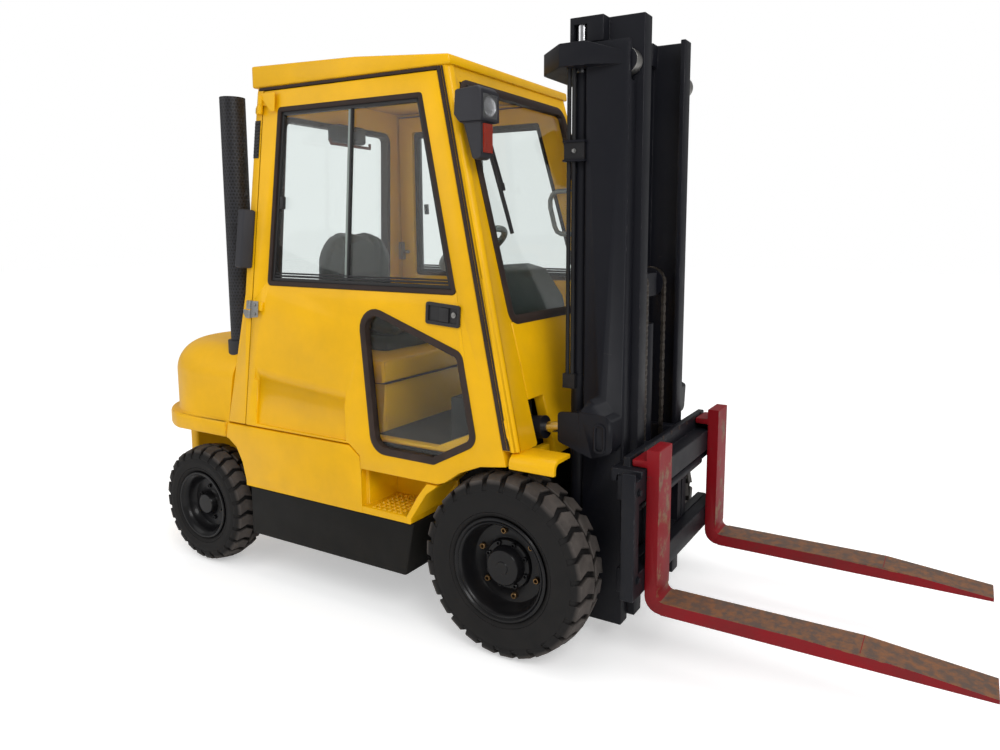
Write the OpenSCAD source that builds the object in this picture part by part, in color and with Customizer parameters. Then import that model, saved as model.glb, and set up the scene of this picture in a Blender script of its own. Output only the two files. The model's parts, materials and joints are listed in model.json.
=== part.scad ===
// Counterbalance forklift truck with a closed cab, full-free-lift mast and side-shift carriage.
// The truck drives towards +X, +Y is its left side, +Z is up.

/* [Wheels] */
// Distance between the front and rear axles
wheelbase = 1615; // [1560:5:1720]
// Diameter of a front tyre over its lugs
front_tyre_d = 670; // [640:5:690]
// Width of a front tyre
front_tyre_w = 190; // [170:5:200]
// Distance between the middles of the front tyres
front_track = 970; // [950:5:1000]
// Diameter of a rear tyre over its lugs
rear_tyre_d = 536; // [510:2:560]
// Width of a rear tyre
rear_tyre_w = 160; // [140:5:170]
// Distance between the middles of the rear tyres
rear_track = 960; // [950:5:1000]
// Diameter of a front rim where the tyre seats
front_rim_d = 360; // [330:5:380]
// Diameter of a rear rim where the tyre seats
rear_rim_d = 290; // [270:5:310]
// Thickness of a rim barrel and its disc
rim_wall = 14; // [8:1:18]
// Number of lugs in each of the two rows of a front tyre
front_lugs = 26; // [20:1:28]
// Number of lugs in each of the two rows of a rear tyre
rear_lugs = 24; // [18:1:26]
// Gap between a front tyre and the edge of its arch
arch_gap = 26; // [20:1:40]
// Distance between the kingpins of the steer axle
kingpin_span = 730; // [710:5:740]

/* [Body] */
// Width over the lower body panels
body_w = 1100; // [1080:5:1130]
// Thickness of the lower side panels
panel_t = 40; // [30:1:50]
// Height where the cab sides start to lean in
lean_z = 640; // [610:5:660]
// Inward lean of the cab sides, in degrees
lean_a = 4.4; // [3.5:0.1:5]
// Height of the underside of the skirts
skirt_bottom = 200; // [180:5:230]
// Height of the top of the skirts
skirt_top = 413; // [390:1:430]
// Height of the step floor
step_z = 440; // [430:1:480]
// Height of the seam under the doors
seam_z = 675; // [660:1:690]
// Height of the top of the step opening
step_top = 585; // [570:1:600]
// Height of the cab floor
floor_z = 700; // [690:1:715]
// Height of the top of the engine hood
hood_z = 990; // [950:5:1020]
// Length of the engine hood
hood_l = 600; // [540:5:630]

/* [Counterweight] */
// Reach of the counterweight behind the rear axle
tail = 432; // [400:2:460]
// Height of the top of the counterweight
cw_top = 1000; // [980:5:1040]
// Height of the underside of the counterweight's lip
cw_lip_z = 606; // [590:2:620]
// Height of the lip
cw_lip_h = 72; // [50:1:90]
// Width over the counterweight above its lip
cw_w = 1070; // [1040:5:1090]
// Radius of the counterweight's rear corners in plan
cw_corner = 380; // [320:5:420]
// Radius along the counterweight's top edge
cw_round = 140; // [110:2:160]
// Diameter of the towing pin hole
tow_hole_d = 34; // [26:1:42]

/* [Cab] */
// Height of the top of the doors
door_top = 2080; // [2050:2:2100]
// Thickness of the doors
door_t = 45; // [36:1:50]
// Gap around the doors
door_gap = 6; // [5.5:0.5:8]
// Depth of the front pillars ahead of the doors
pillar_front = 55; // [45:1:70]
// Thickness of the cab frame walls
cab_wall = 50; // [40:1:60]
// Slope of the cab front, in degrees from upright
front_slope = 14.26; // [13:0.1:15]
// Height of the lower edge of the windscreen opening
screen_z = 1185; // [1160:5:1220]
// Width of the windscreen opening
screen_w = 780; // [750:5:780]
// Thickness of the glass
glass_t = 6; // [4:0.5:8]
// Height of the roof at its rear edge
roof_z = 2179; // [2160:1:2200]
// Depth of the roof's front edge
roof_lip = 36; // [30:1:50]
// Width over the roof
roof_w = 892; // [886:2:920]
// Height of the exhaust stack's top
stack_z = 2068; // [1900:4:2100]
// Diameter of the exhaust stack
stack_d = 104; // [90:2:110]

/* [Mast] */
// Height of the outer mast rails' tops
outer_top = 2137; // [2100:1:2160]
// Height of the outer mast rails' feet
outer_foot = 95; // [80:1:120]
// Height of the inner mast rails' tops
inner_top = 2230; // [2210:1:2260]
// Width over the outer rails
mast_w = 600; // [590:2:610]
// Distance of the outer rails' back face ahead of the front axle
mast_x = 186; // [180:1:200]
// Depth of an outer rail
rail_d = 160; // [150:1:170]
// Thickness of the rails' flanges
flange_t = 20; // [16:1:22]
// Thickness of the rails' webs
web_t = 14; // [10:1:16]
// Width of an outer rail
rail_w = 59; // [54:1:62]
// Width of an inner rail
inner_rail_w = 65; // [60:1:70]
// Radius of a lift cylinder barrel
lift_r = 32; // [26:1:36]
// Radius of a lift rod
lift_rod_r = 20; // [16:1:23]
// Radius of the free-lift cylinder barrel
free_r = 48; // [42:1:50]
// Radius of the chain sheaves
sheave_r = 50; // [44:1:54]
// Distance between the two lift chains
chain_span = 180; // [170:2:190]
// Width of a lift chain
chain_w = 24; // [18:1:28]
// Height of the sheaves' axle
sheave_z = 1312; // [1290:2:1340]

/* [Carriage and forks] */
// Width over the side-shift frame
shift_w = 980; // [940:5:1000]
// Height of the carriage's lower edge
carriage_z = 295; // [285:1:310]
// Height of the fork bars over both of their edges
carriage_h = 407; // [400:1:420]
// Thickness of the carriage bars and of the side-shift bars
bar_t = 36; // [30:1:40]
// Height of a fork's underside above the floor
fork_z = 225; // [190:1:240]
// Length of a fork blade
fork_l = 1000; // [900:10:1200]
// Width of a fork
fork_w = 120; // [100:2:130]
// Thickness of a fork
fork_t = 45; // [40:1:50]
// Distance between the middles of the forks
fork_span = 666; // [560:2:680]
// Height of a fork's shank above its underside
fork_h = 565; // [540:1:590]

/* [Tilt cylinders] */
// Distance between the two tilt cylinders
tilt_span = 680; // [670:2:690]
// Radius of a tilt cylinder barrel
tilt_r = 42; // [34:1:44]
// Radius of a tilt rod
tilt_rod_r = 20; // [14:1:22]
// Height of the tilt rods' front pins
tilt_pin_z = 815; // [800:1:825]
// Distance of the tilt rods' front pins ahead of the front axle
tilt_pin_x = 150; // [140:1:160]
// Height of the tilt cylinders' rear pins
tilt_rear_z = 758; // [750:1:770]
// Distance of the tilt cylinders' rear pins behind the front axle
tilt_rear_x = 285; // [275:1:300]

/* [Clearances] */
// Radial clearance of a running fit
fit = 0.05; // [0.02:0.01:0.1]
// Gap between pieces that sit on each other without touching
seat_gap = 0.3; // [0.2:0.05:0.5]
// Clearance of the tilt rods' open eyes
eye_gap = 2; // [1.6:0.1:3]
// Clearance of the steered tyres from what is around them
steer_gap = 14; // [8:1:20]

/* [Hidden] */
$fn = 64;

yellow = [0.93, 0.68, 0.03];
mast_black = [0.12, 0.12, 0.15];
skirt_black = [0.07, 0.07, 0.07];
rubber_black = [0.08, 0.08, 0.08];
glass_tint = [0.75, 0.8, 0.78, 0.4];
trim_grey = [0.2, 0.23, 0.21];
fork_red = [0.66, 0.07, 0.1];
steel = [0.72, 0.72, 0.74];

half_w = body_w / 2;
rear_x = -wheelbase;
front_r = front_tyre_d / 2;
rear_r = rear_tyre_d / 2;
blade_x = mast_x + 329;
tip_x = blade_x + fork_l;
tail_x = rear_x - tail;
frame_shift = -(tip_x + tail_x) / 2;

// Points of the cab side, as [x, z] before the side is leaned in
front_foot = [14, 699];
front_tan = tan(front_slope);
function front_edge(z) = front_foot[0] - (z - front_foot[1]) * front_tan;
function cab_front(z) = front_edge(z) + pillar_front;
door_rear_low = rear_x + 315;
door_rear_high = rear_x + 393;
hinge_slant = atan((door_rear_high - door_rear_low) / (door_top - seam_z));
function rear_edge(z) = door_rear_low + (z - seam_z) * tan(hinge_slant);
step_rear = -640;
step_front = -320;
arch_r = front_r + arch_gap;
arch_z = front_r;
function arch_point(a, r) = [-r * cos(a), arch_z + r * sin(a)];

// Moves the truck from its front axle to the middle of its own length
module in_frame() {
  translate([frame_shift, 0, 0]) children();
}

// Draws the right side and its mirror image on the left
module both_sides() {
  children();
  mirror([0, 1, 0]) children();
}

// A plate between two Y values with an outline of [x, z] points
module plate_xz(outline, y0, y1) {
  translate([0, y1, 0]) rotate([90, 0, 0]) linear_extrude(y1 - y0) polygon(outline);
}

// A box between two corners
module box(a, b) {
  translate(a) cube(b - a);
}

// A cylinder along Y between two Y values
module bar_y(x, z, r, y0, y1) {
  translate([x, y0, z]) rotate([-90, 0, 0]) cylinder(r = r, h = y1 - y0);
}

// Leans the right cab side in about the line where the lower panels end
module lean_in() {
  translate([0, -half_w, lean_z]) rotate([-lean_a, 0, 0]) translate([0, half_w, -lean_z]) children();
}

// An outline with its corners [x, z, radius] rounded into arcs
arc_steps = 5;
function unit(v) = v / norm(v);
function flat(p) = [p[0], p[1]];
function corner_arc(p, last, next, r) =
  let (
    u = unit(last - p),
    v = unit(next - p),
    half = acos(u * v) / 2,
    centre = p + unit(u + v) * r / sin(half),
    start = p + u * r / tan(half) - centre,
    end = p + v * r / tan(half) - centre,
    a = atan2(start[1], start[0]),
    turn = atan2(start[0] * end[1] - start[1] * end[0], start * end)
  ) [for (i = [0:arc_steps]) centre + r * [cos(a + turn * i / arc_steps), sin(a + turn * i / arc_steps)]];
function rounded(points) = [
  for (i = [0:len(points) - 1])
    for (q = corner_arc(flat(points[i]), flat(points[(i + len(points) - 1) % len(points)]),
      flat(points[(i + 1) % len(points)]), points[i][2])) q
];

// Cab width at a height, measured from the middle
function cab_half(z) = half_w - (z - lean_z) * tan(lean_a);

// Chassis frame: side plates, skirts with the tanks inside, bottom pan and rear spine
plate_in = mast_w / 2 + 15;
plate_out = plate_in + 30;
skirt_y = half_w - 5;
spine_half = 110;
tyre_shoulder = [14, 16];
shoulder_y = (rear_track + rear_tyre_w - kingpin_span) / 2 - tyre_shoulder[1];
well_r = norm([rear_r - tyre_shoulder[0], shoulder_y]) + steer_gap;
skirt_rear = rear_x + well_r;
skirt_front_top = -front_r - 62;
pan_z = 250;
plate_front = 95;
frame_top = floor_z - 15;
axle_mount_r = 75;
module chassis_frame() {
  skirt = [
    [skirt_rear, skirt_bottom], [skirt_front_top - 42, skirt_bottom],
    [skirt_front_top, skirt_top], [skirt_rear, skirt_top]
  ];
  side_plate = [
    [skirt_rear, skirt_bottom + 30], [-front_r / 2, skirt_bottom + 30], [plate_front, front_r - 90],
    [plate_front, front_r + 120], [fender_foot, frame_top], [skirt_rear, frame_top]
  ];
  color(skirt_black) in_frame() {
    both_sides() {
      plate_xz(skirt, -skirt_y, -plate_out);
      difference() {
        plate_xz(side_plate, -plate_out, -plate_in);
        bar_y(0, front_r, axle_mount_r + seat_gap, -plate_out - 1, -plate_in + 1);
      }
    }
    box([skirt_rear, -plate_in, skirt_bottom + 30], [-front_r / 2 - 20, plate_in, pan_z]);
    box([skirt_rear, -plate_in, pan_z], [skirt_rear + 25, plate_in, frame_top - 60]);
    box([-front_r / 2 - 45, -plate_in, pan_z], [-front_r / 2 - 20, plate_in, frame_top - 60]);
    box([rear_x - 80, -spine_half, rear_r + 72], [skirt_rear + 12, spine_half, cw_lip_z - 60]);
    both_sides() tilt_anchor();
  }
}

// Two ears with the rear pin of a tilt cylinder, standing on the side plate
tilt_ear = 12;
tilt_pin_r = 14;
tilt_eye_w = 44;
module tilt_anchor() {
  y_mid = -tilt_span / 2;
  for (side = [-1, 1]) {
    y_ear = y_mid + side * (tilt_eye_w / 2 + 1 + tilt_ear / 2);
    translate([-tilt_rear_x, y_ear, 0]) {
      box([-30, -tilt_ear / 2, frame_top - 40], [30, tilt_ear / 2, tilt_rear_z]);
      bar_y(0, tilt_rear_z, 30, -tilt_ear / 2, tilt_ear / 2);
    }
  }
  box([-tilt_rear_x - 30, y_mid - tilt_eye_w / 2 - 1 - tilt_ear, frame_top - 60],
    [-tilt_rear_x + 30, y_mid + tilt_eye_w / 2 + 1 + tilt_ear, frame_top - 40]);
  pin_reach = tilt_eye_w / 2 + 1 + tilt_ear;
  bar_y(-tilt_rear_x, tilt_rear_z, tilt_pin_r, y_mid - pin_reach, y_mid + pin_reach);
}

// Counterweight: rounded block with a lip, wheel wells and a towing pin
seam_low_x = rear_x + 187;
seam_high_x = rear_x + 251;
cw_seam_gap = 4;
function seam_x(z) = seam_low_x + (z - cw_lip_z) * (seam_high_x - seam_low_x) / (cw_top - cw_lip_z);
tow_slot_z = 420;
tow_slot_h = 56;
cw_lip_out = 26;
module cw_plan(grow) {
  y = cw_w / 2 + grow;
  r = cw_corner;
  x_rear = tail_x + cw_lip_out - grow;
  translate([x_rear + r, -y]) square([seam_high_x + 100 - x_rear - r, 2 * y]);
  translate([x_rear, -y + r]) square([r + 1, 2 * y - 2 * r]);
  for (side = [-1, 1]) translate([x_rear + r, side * (y - r)]) circle(r);
}
module cw_side_profile(reach) {
  translate([0, cw_lip_z + 1]) square([reach, cw_top - cw_round - cw_lip_z - 1]);
  translate([0, cw_lip_z + 1]) square([reach - cw_round, cw_top - cw_lip_z - 1]);
  translate([reach - cw_round, cw_top - cw_round]) circle(cw_round);
}
module cw_upper() {
  front = [seam_low_x - cw_seam_gap, seam_high_x - cw_seam_gap];
  x_rear = tail_x + cw_lip_out;
  x_corner = x_rear + cw_corner;
  y_corner = cw_w / 2 - cw_corner;
  intersection() {
    union() {
      both_sides() {
        intersection() {
          translate([x_corner, -y_corner, 0]) rotate_extrude() cw_side_profile(cw_corner);
          box([x_rear - 1, -cw_w, 0], [x_corner, -y_corner, cw_top + 1]);
        }
        translate([x_corner, 0, 0]) mirror([0, 1, 0])
          rotate([90, 0, 90]) linear_extrude(seam_high_x - x_corner) cw_side_profile(cw_w / 2);
      }
      translate([x_corner, y_corner, 0]) rotate([90, 0, 0]) linear_extrude(2 * y_corner)
        mirror([1, 0, 0]) cw_side_profile(cw_corner);
    }
    plate_xz([[x_rear - 1, cw_lip_z], [front[0], cw_lip_z], [front[1], cw_top], [x_rear - 1, cw_top]],
      -cw_w, cw_w);
  }
}
module counterweight() {
  lip_front = seam_low_x - cw_seam_gap;
  tail_half = 330;
  color(yellow) in_frame() difference() {
    union() {
      cw_upper();
      intersection() {
        translate([0, 0, cw_lip_z]) linear_extrude(cw_lip_h) cw_plan(cw_lip_out);
        box([tail_x - 1, -half_w, cw_lip_z], [lip_front, half_w, cw_lip_z + cw_lip_h]);
      }
      difference() {
        box([tail_x + 60, -tail_half, rear_r + 30], [rear_x - 80 - seat_gap, tail_half, cw_lip_z + 2]);
        for (side = [-1, 1])
          translate([rear_x, side * kingpin_span / 2, 0]) cylinder(r = well_r, h = cw_lip_z - 16);
      }
    }
    box([tail_x - 1, -70, tow_slot_z], [tail_x + 190, 70, tow_slot_z + tow_slot_h]);
    translate([tail_x + 110, 0, rear_r]) cylinder(d = tow_hole_d, h = tow_slot_z + tow_slot_h + 60 - rear_r);
  }
}

// Lower side panel with the step well
rear_arch = [[rear_x + 303, skirt_top + 1], [rear_x + 303, 435], [rear_x + 283, 512],
  [rear_x + 249, 574], [rear_x + 200, cw_lip_z]];
function seam_line(drop) = [[step_rear - 7, step_top - drop], [step_rear - 15, 637 - drop],
  [-711, seam_z - drop], [seam_x(seam_z), seam_z - drop]];
module side_panel() {
  outline = concat([[step_rear - 7, skirt_top + 1]], seam_line(0), [[seam_low_x + 1, cw_lip_z]],
    [for (i = [4:-1:0]) rear_arch[i]]);
  step_end = -front_r - 68;
  step_wall = 8;
  lap = 10;
  color(yellow) {
    plate_xz(outline, -half_w, -half_w + panel_t);
    box([step_rear - lap - 7, -half_w + 1, skirt_top + 1], [step_end - lap, -plate_out - seat_gap, step_z]);
    box([step_rear - lap - 7, -half_w + panel_t - lap, step_z - 1],
      [step_rear + 5, -plate_out - seat_gap, step_top]);
    box([step_rear - lap - 7, -plate_out - seat_gap - step_wall, step_z - 1],
      [step_front - 5, -plate_out - seat_gap, step_top - 1]);
    sill = [[step_end - 22, skirt_top + 1], [step_end, skirt_top + 1], arch_point(14, arch_r + 54),
      arch_point(32, arch_r + 29), arch_point(41, arch_r + 12), [-290, step_top - 1],
      [step_front - 10, step_top - 1],
      [step_front - 52, step_top - 55], [step_end - 22, step_z + 5]];
    plate_xz(sill, -half_w, -plate_out - seat_gap);
  }
}
module side_panel_right() {
  in_frame() side_panel();
}
module side_panel_left() {
  in_frame() mirror([0, 1, 0]) side_panel();
}

// Front fenders: a ledge over each front wheel that curls down at its outer edge
fender_t = 14;
fender_x = 205;
fender_z = 748;
fender_in = 430;
fender_back = front_foot[0] + 13;
fender_foot = 60;
fender_arm = 24;
module front_fenders() {
  curl = 36;
  skirt_low = 16;
  color(yellow) in_frame() both_sides() {
    box([fender_back, -half_w + curl, fender_z - fender_t], [fender_x, -fender_in, fender_z]);
    intersection() {
      difference() {
        translate([fender_back, -half_w + curl, fender_z - curl])
          rotate([0, 90, 0]) cylinder(r = curl, h = fender_x - fender_back);
        translate([fender_back - 1, -half_w + curl, fender_z - curl])
          rotate([0, 90, 0]) cylinder(r = curl - fender_t, h = fender_x - fender_back + 2);
      }
      box([fender_back, -half_w, fender_z - curl], [fender_x, -half_w + curl, fender_z]);
    }
    box([fender_back, -half_w, fender_z - curl - skirt_low],
      [fender_x, -half_w + fender_t, fender_z - curl]);
    arm_z = fender_z - fender_t - fender_arm;
    box([fender_back, -fender_in - 20, arm_z], [fender_foot, -plate_in, fender_z - fender_t]);
    box([fender_back, -plate_out, frame_top], [fender_foot, -plate_in, arm_z]);
  }
}

// Front panel below the windscreen, open where the tilt cylinders pass
panel_half = 395;
panel_low = floor_z - 15;
tunnel_half = tilt_r + 14;
module front_panel() {
  outline = [[cab_front(panel_low) - cab_wall, panel_low], [cab_front(panel_low), panel_low],
    [cab_front(screen_z), screen_z], [cab_front(screen_z) - cab_wall, screen_z]];
  color(yellow) in_frame() difference() {
    plate_xz(outline, -panel_half, panel_half);
    for (side = [-1, 1]) {
      y = side * tilt_span / 2;
      box([-200, y - tunnel_half, panel_low - 1], [200, y + tunnel_half, tilt_pin_z + 92]);
    }
  }
}

// Floor plate with a covered tunnel over each tilt cylinder
module floor_plate() {
  tunnel_rear = -tilt_rear_x - 40;
  tunnel_front = cab_front(tilt_pin_z + 92) - cab_wall - 2;
  tunnel_z = tilt_pin_z + 66;
  wall = 8;
  floor_front = cab_front(floor_z) - cab_wall - 1;
  color(rubber_black) in_frame() {
    difference() {
      box([-hood_front + 1, -floor_half, frame_top], [floor_front, floor_half, floor_z]);
      for (side = [-1, 1]) {
        y = side * tilt_span / 2;
        box([tunnel_rear + wall, y - tunnel_half + wall, frame_top - 1],
          [floor_front + 1, y + tunnel_half - wall, floor_z + 1]);
      }
    }
    for (side = [-1, 1]) {
      y = side * tilt_span / 2;
      difference() {
        box([tunnel_rear, y - tunnel_half, floor_z], [tunnel_front, y + tunnel_half, tunnel_z]);
        box([tunnel_rear + wall, y - tunnel_half + wall, floor_z - 1],
          [tunnel_front + 1, y + tunnel_half - wall, tunnel_z - wall]);
      }
    }
  }
}
sill_w = 110;
sill_in = 70;
floor_half = half_w - sill_w;

// Engine hood that carries the seat, and the engine under it
hood_front = 665;
hood_half = 380;
hood_t = 30;
module engine_hood() {
  rear = -hood_front - hood_l;
  lid_z = hood_z - 92;
  color(yellow) in_frame() difference() {
    union() {
      box([rear, -hood_half, frame_top + seat_gap], [-hood_front, hood_half, lid_z]);
      box([rear, -hood_half - 12, lid_z], [-hood_front + 12, hood_half + 12, hood_z]);
    }
    box([rear + hood_t, -hood_half + hood_t, frame_top - 1],
      [-hood_front - hood_t, hood_half - hood_t, hood_z - hood_t]);
  }
}
engine_l = hood_l - 80;
engine_half = 240;
engine_h = 600;
module engine_block() {
  color(skirt_black) in_frame()
    box([-hood_front - 40 - engine_l, -engine_half, pan_z],
      [-hood_front - 40, engine_half, pan_z + engine_h]);
}

// Drive axle with journals for the mast, and the steer axle with forked ends
journal_r = 84;
hub_r = 40;
front_inner = (front_track - front_tyre_w) / 2;
module drive_axle() {
  journal_in = mast_w / 2 - rail_w - 2;
  stub_end = front_track / 2 + 52;
  color(skirt_black) in_frame() {
    bar_y(0, front_r, axle_mount_r, -front_inner + 12, front_inner - 12);
    both_sides() {
      bar_y(0, front_r, journal_r, -mast_w / 2 - 2, -journal_in);
      bar_y(0, front_r, hub_r, -stub_end, -front_inner + 20);
    }
    intersection() {
      translate([0, 0, front_r]) sphere(r = 150);
      box([-150, -130, 0], [150, 130, front_tyre_d]);
    }
  }
}
kingpin_y = kingpin_span / 2;
ear_r = 29;
ear_t = 34;
knuckle_half = 46;
kingpin_r = 16;
beam_half = 44;
module steer_axle() {
  ear_z = knuckle_half + seat_gap;
  color(skirt_black) in_frame() difference() {
    union() {
      box([rear_x - beam_half, -kingpin_y + 70, rear_r - ear_z - ear_t],
        [rear_x + beam_half, kingpin_y - 70, rear_r + ear_z + 20]);
      box([rear_x - 30, -spine_half, rear_r + ear_z], [rear_x + 30, spine_half, rear_r + 72]);
      both_sides() for (z = [rear_r + ear_z, rear_r - ear_z - ear_t]) {
        translate([rear_x, -kingpin_y, z]) cylinder(r = ear_r, h = ear_t);
        box([rear_x - ear_r, -kingpin_y, z], [rear_x + ear_r, -kingpin_y + 80, z + ear_t]);
      }
    }
    both_sides() {
      translate([rear_x, -kingpin_y, rear_r - 200]) cylinder(r = kingpin_r + fit, h = 400);
      translate([rear_x, -kingpin_y, rear_r - ear_z]) cylinder(r = 62, h = 2 * ear_z);
    }
  }
}

// Steering knuckle: block on a kingpin with the wheel spindle
spindle_r = 26;
module knuckle() {
  pin_half = knuckle_half + ear_t + 8;
  spindle_end = rear_track / 2 + 40;
  color(skirt_black) {
    translate([rear_x, -kingpin_y, rear_r - pin_half]) cylinder(r = kingpin_r, h = 2 * pin_half);
    translate([rear_x, -kingpin_y, rear_r - knuckle_half]) cylinder(r = 34, h = 2 * knuckle_half);
    bar_y(rear_x, rear_r, spindle_r, -spindle_end, -kingpin_y);
  }
}
module knuckle_right() {
  in_frame() knuckle();
}
module knuckle_left() {
  in_frame() mirror([0, 1, 0]) knuckle();
}

// Wheels, built about the Y axis with the outer face towards -Y
lug_depth = 14;
lug_corners = [[0, 0], [0.5, 0], [0.6, 1], [0.9, 1]];
function lug_outline(r, lugs, turn) = [
  for (i = [0:lugs - 1])
    for (corner = lug_corners)
      let (a = (i + corner[0] + turn) * 360 / lugs - 90)
        (r - corner[1] * lug_depth) * [cos(a), sin(a)]
];
module tyre_half(r, w, lugs, turn) {
  shoulder_w = w / 2 - tyre_shoulder[1];
  linear_extrude(shoulder_w, scale = 1 - tyre_shoulder[0] / r) polygon(lug_outline(r, lugs, turn));
  wall_r = r - tyre_shoulder[0] - lug_depth;
  translate([0, 0, shoulder_w - 1]) linear_extrude(tyre_shoulder[1] + 1, scale = (r - 62) / wall_r)
    circle(wall_r, $fn = 2 * lugs);
}
module tyre(d, w, rim_d, lugs) {
  bead = (rim_d / 2 + seat_gap) / cos(90 / lugs);
  color(rubber_black) rotate([90, 0, 0]) difference() {
    union() {
      tyre_half(d / 2, w, lugs, 0);
      mirror([0, 0, 1]) tyre_half(d / 2, w, lugs, 0.5);
    }
    translate([0, 0, -w]) linear_extrude(2 * w) circle(bead, $fn = 2 * lugs);
  }
}
module rim(d, w, bore_r, disc_y, hub_reach) {
  r = d / 2;
  hub_wall = 24;
  color(skirt_black) rotate([90, 0, 0]) rotate_extrude() polygon([
    [bore_r + fit, -w / 2 + 14], [bore_r + hub_wall, -w / 2 + 14], [bore_r + hub_wall, disc_y - rim_wall],
    [r - rim_wall, disc_y - rim_wall], [r - rim_wall, -w / 2 + 10], [r, -w / 2 + 10],
    [r, w / 2 - 10], [r - rim_wall, w / 2 - 10], [r - rim_wall, disc_y], [bore_r + hub_wall + 20, disc_y],
    [bore_r + hub_wall, hub_reach], [0, hub_reach], [0, hub_reach - 10], [bore_r + fit, hub_reach - 10]
  ]);
}
module at_front(side) {
  in_frame() translate([0, side * front_track / 2, front_r])
    mirror([0, side > 0 ? 1 : 0, 0]) children();
}
module at_rear(side) {
  in_frame() translate([rear_x, side * rear_track / 2, rear_r])
    mirror([0, side > 0 ? 1 : 0, 0]) children();
}
module front_tyre() {
  tyre(front_tyre_d, front_tyre_w, front_rim_d, front_lugs);
}
module rear_tyre() {
  tyre(rear_tyre_d, rear_tyre_w, rear_rim_d, rear_lugs);
}
module front_rim() {
  rim(front_rim_d, front_tyre_w, hub_r, 12, 66);
}
module rear_rim() {
  rim(rear_rim_d, rear_tyre_w, spindle_r, 16, 54);
}
module tyre_front_right() {
  at_front(-1) front_tyre();
}
module tyre_front_left() {
  at_front(1) front_tyre();
}
module tyre_rear_right() {
  at_rear(-1) rear_tyre();
}
module tyre_rear_left() {
  at_rear(1) rear_tyre();
}
module rim_front_right() {
  at_front(-1) front_rim();
}
module rim_front_left() {
  at_front(1) front_rim();
}
module rim_rear_right() {
  at_rear(-1) rear_rim();
}
module rim_rear_left() {
  at_rear(1) rear_rim();
}

// Door outline, window openings and hinges, drawn in the upright plane of the right side
door_low_z = seam_z + door_gap;
function door_outline(grow) = [
  [rear_edge(door_low_z) - grow, door_low_z - grow], [-711 - grow / 2, door_low_z - grow],
  [step_rear - 15 - grow, 637 + door_gap - grow], [step_rear - 7 - grow, step_top + door_gap - grow],
  [step_front + 44, step_top + door_gap - grow],
  arch_point(48, arch_r - grow), arch_point(60, arch_r - grow), arch_point(75, arch_r - grow),
  [front_edge(front_foot[1]) + grow, front_foot[1] - grow],
  [front_edge(door_top) + grow, door_top + grow], [rear_edge(door_top) - grow, door_top + grow]
];
window_top = 2008;
window_low = 1283;
window_outline = rounded([
  [rear_edge(window_low) + 84, window_low, 16], [front_edge(window_low) - 84, window_low, 16],
  [front_edge(window_top) - 84, window_top, 16], [rear_edge(window_top) + 86, window_top, 16]
]);
quad_outline = rounded([
  [-672, 1231, 64], [-192, 1068, 42], [-121, 763, 42], [-296, 675, 24], [-580, 677, 70]
]);
hinge_pin_r = 6;
hinge_out = 14;
hinge_r = 11;
hinge_half = 36;
hinge_zs = [1178, 2020];
module hinge_place(z) {
  translate([rear_edge(z) - door_gap / 2, -half_w - hinge_out, z]) rotate([0, hinge_slant, 0]) children();
}
module door() {
  recess_t = 12;
  recess = [[rear_edge(700) + 60, 694], [-725, 690], [-740, 842], [rear_edge(886) + 55, 886]];
  crease = [[-1246, 939], [-730, 889]];
  crease_run = crease[1] - crease[0];
  band_slope = 12;
  color(yellow) lean_in() {
    difference() {
      plate_xz(door_outline(0), -half_w, -half_w + door_t);
      plate_xz(window_outline, -half_w - 1, -half_w + door_t + 1);
      plate_xz(quad_outline, -half_w - 1, -half_w + door_t + 1);
      plate_xz(recess, -half_w - 1, -half_w + recess_t);
      translate([crease[0][0], -half_w, crease[0][1]])
        rotate([0, -atan2(crease_run[1], crease_run[0]), 0]) rotate([band_slope, 0, 0])
          box([0, -door_t, -recess_t / tan(band_slope)], [norm(crease_run), 0, 0]);
    }
    for (z = hinge_zs) hinge_place(z) difference() {
      union() {
        cylinder(r = hinge_r, h = hinge_half);
        box([0, 4, 0], [70, hinge_out + 2, hinge_half]);
      }
      translate([0, 0, -1]) cylinder(r = hinge_pin_r + fit, h = hinge_half + 2);
    }
  }
}
module inset_plate(outline, y0, y1, inset) {
  translate([0, y1, 0]) rotate([90, 0, 0]) linear_extrude(y1 - y0) offset(delta = -inset) polygon(outline);
}
module door_glass() {
  y0 = -half_w + 14;
  pane = [window_outline, quad_outline];
  color(glass_tint) lean_in() {
    for (outline = pane) inset_plate(outline, y0, y0 + glass_t, seat_gap);
  }
}
module door_right() {
  in_frame() door();
}
module door_right_glass() {
  in_frame() door_glass();
}
module door_left() {
  in_frame() mirror([0, 1, 0]) door();
}
module door_left_glass() {
  in_frame() mirror([0, 1, 0]) door_glass();
}

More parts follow.
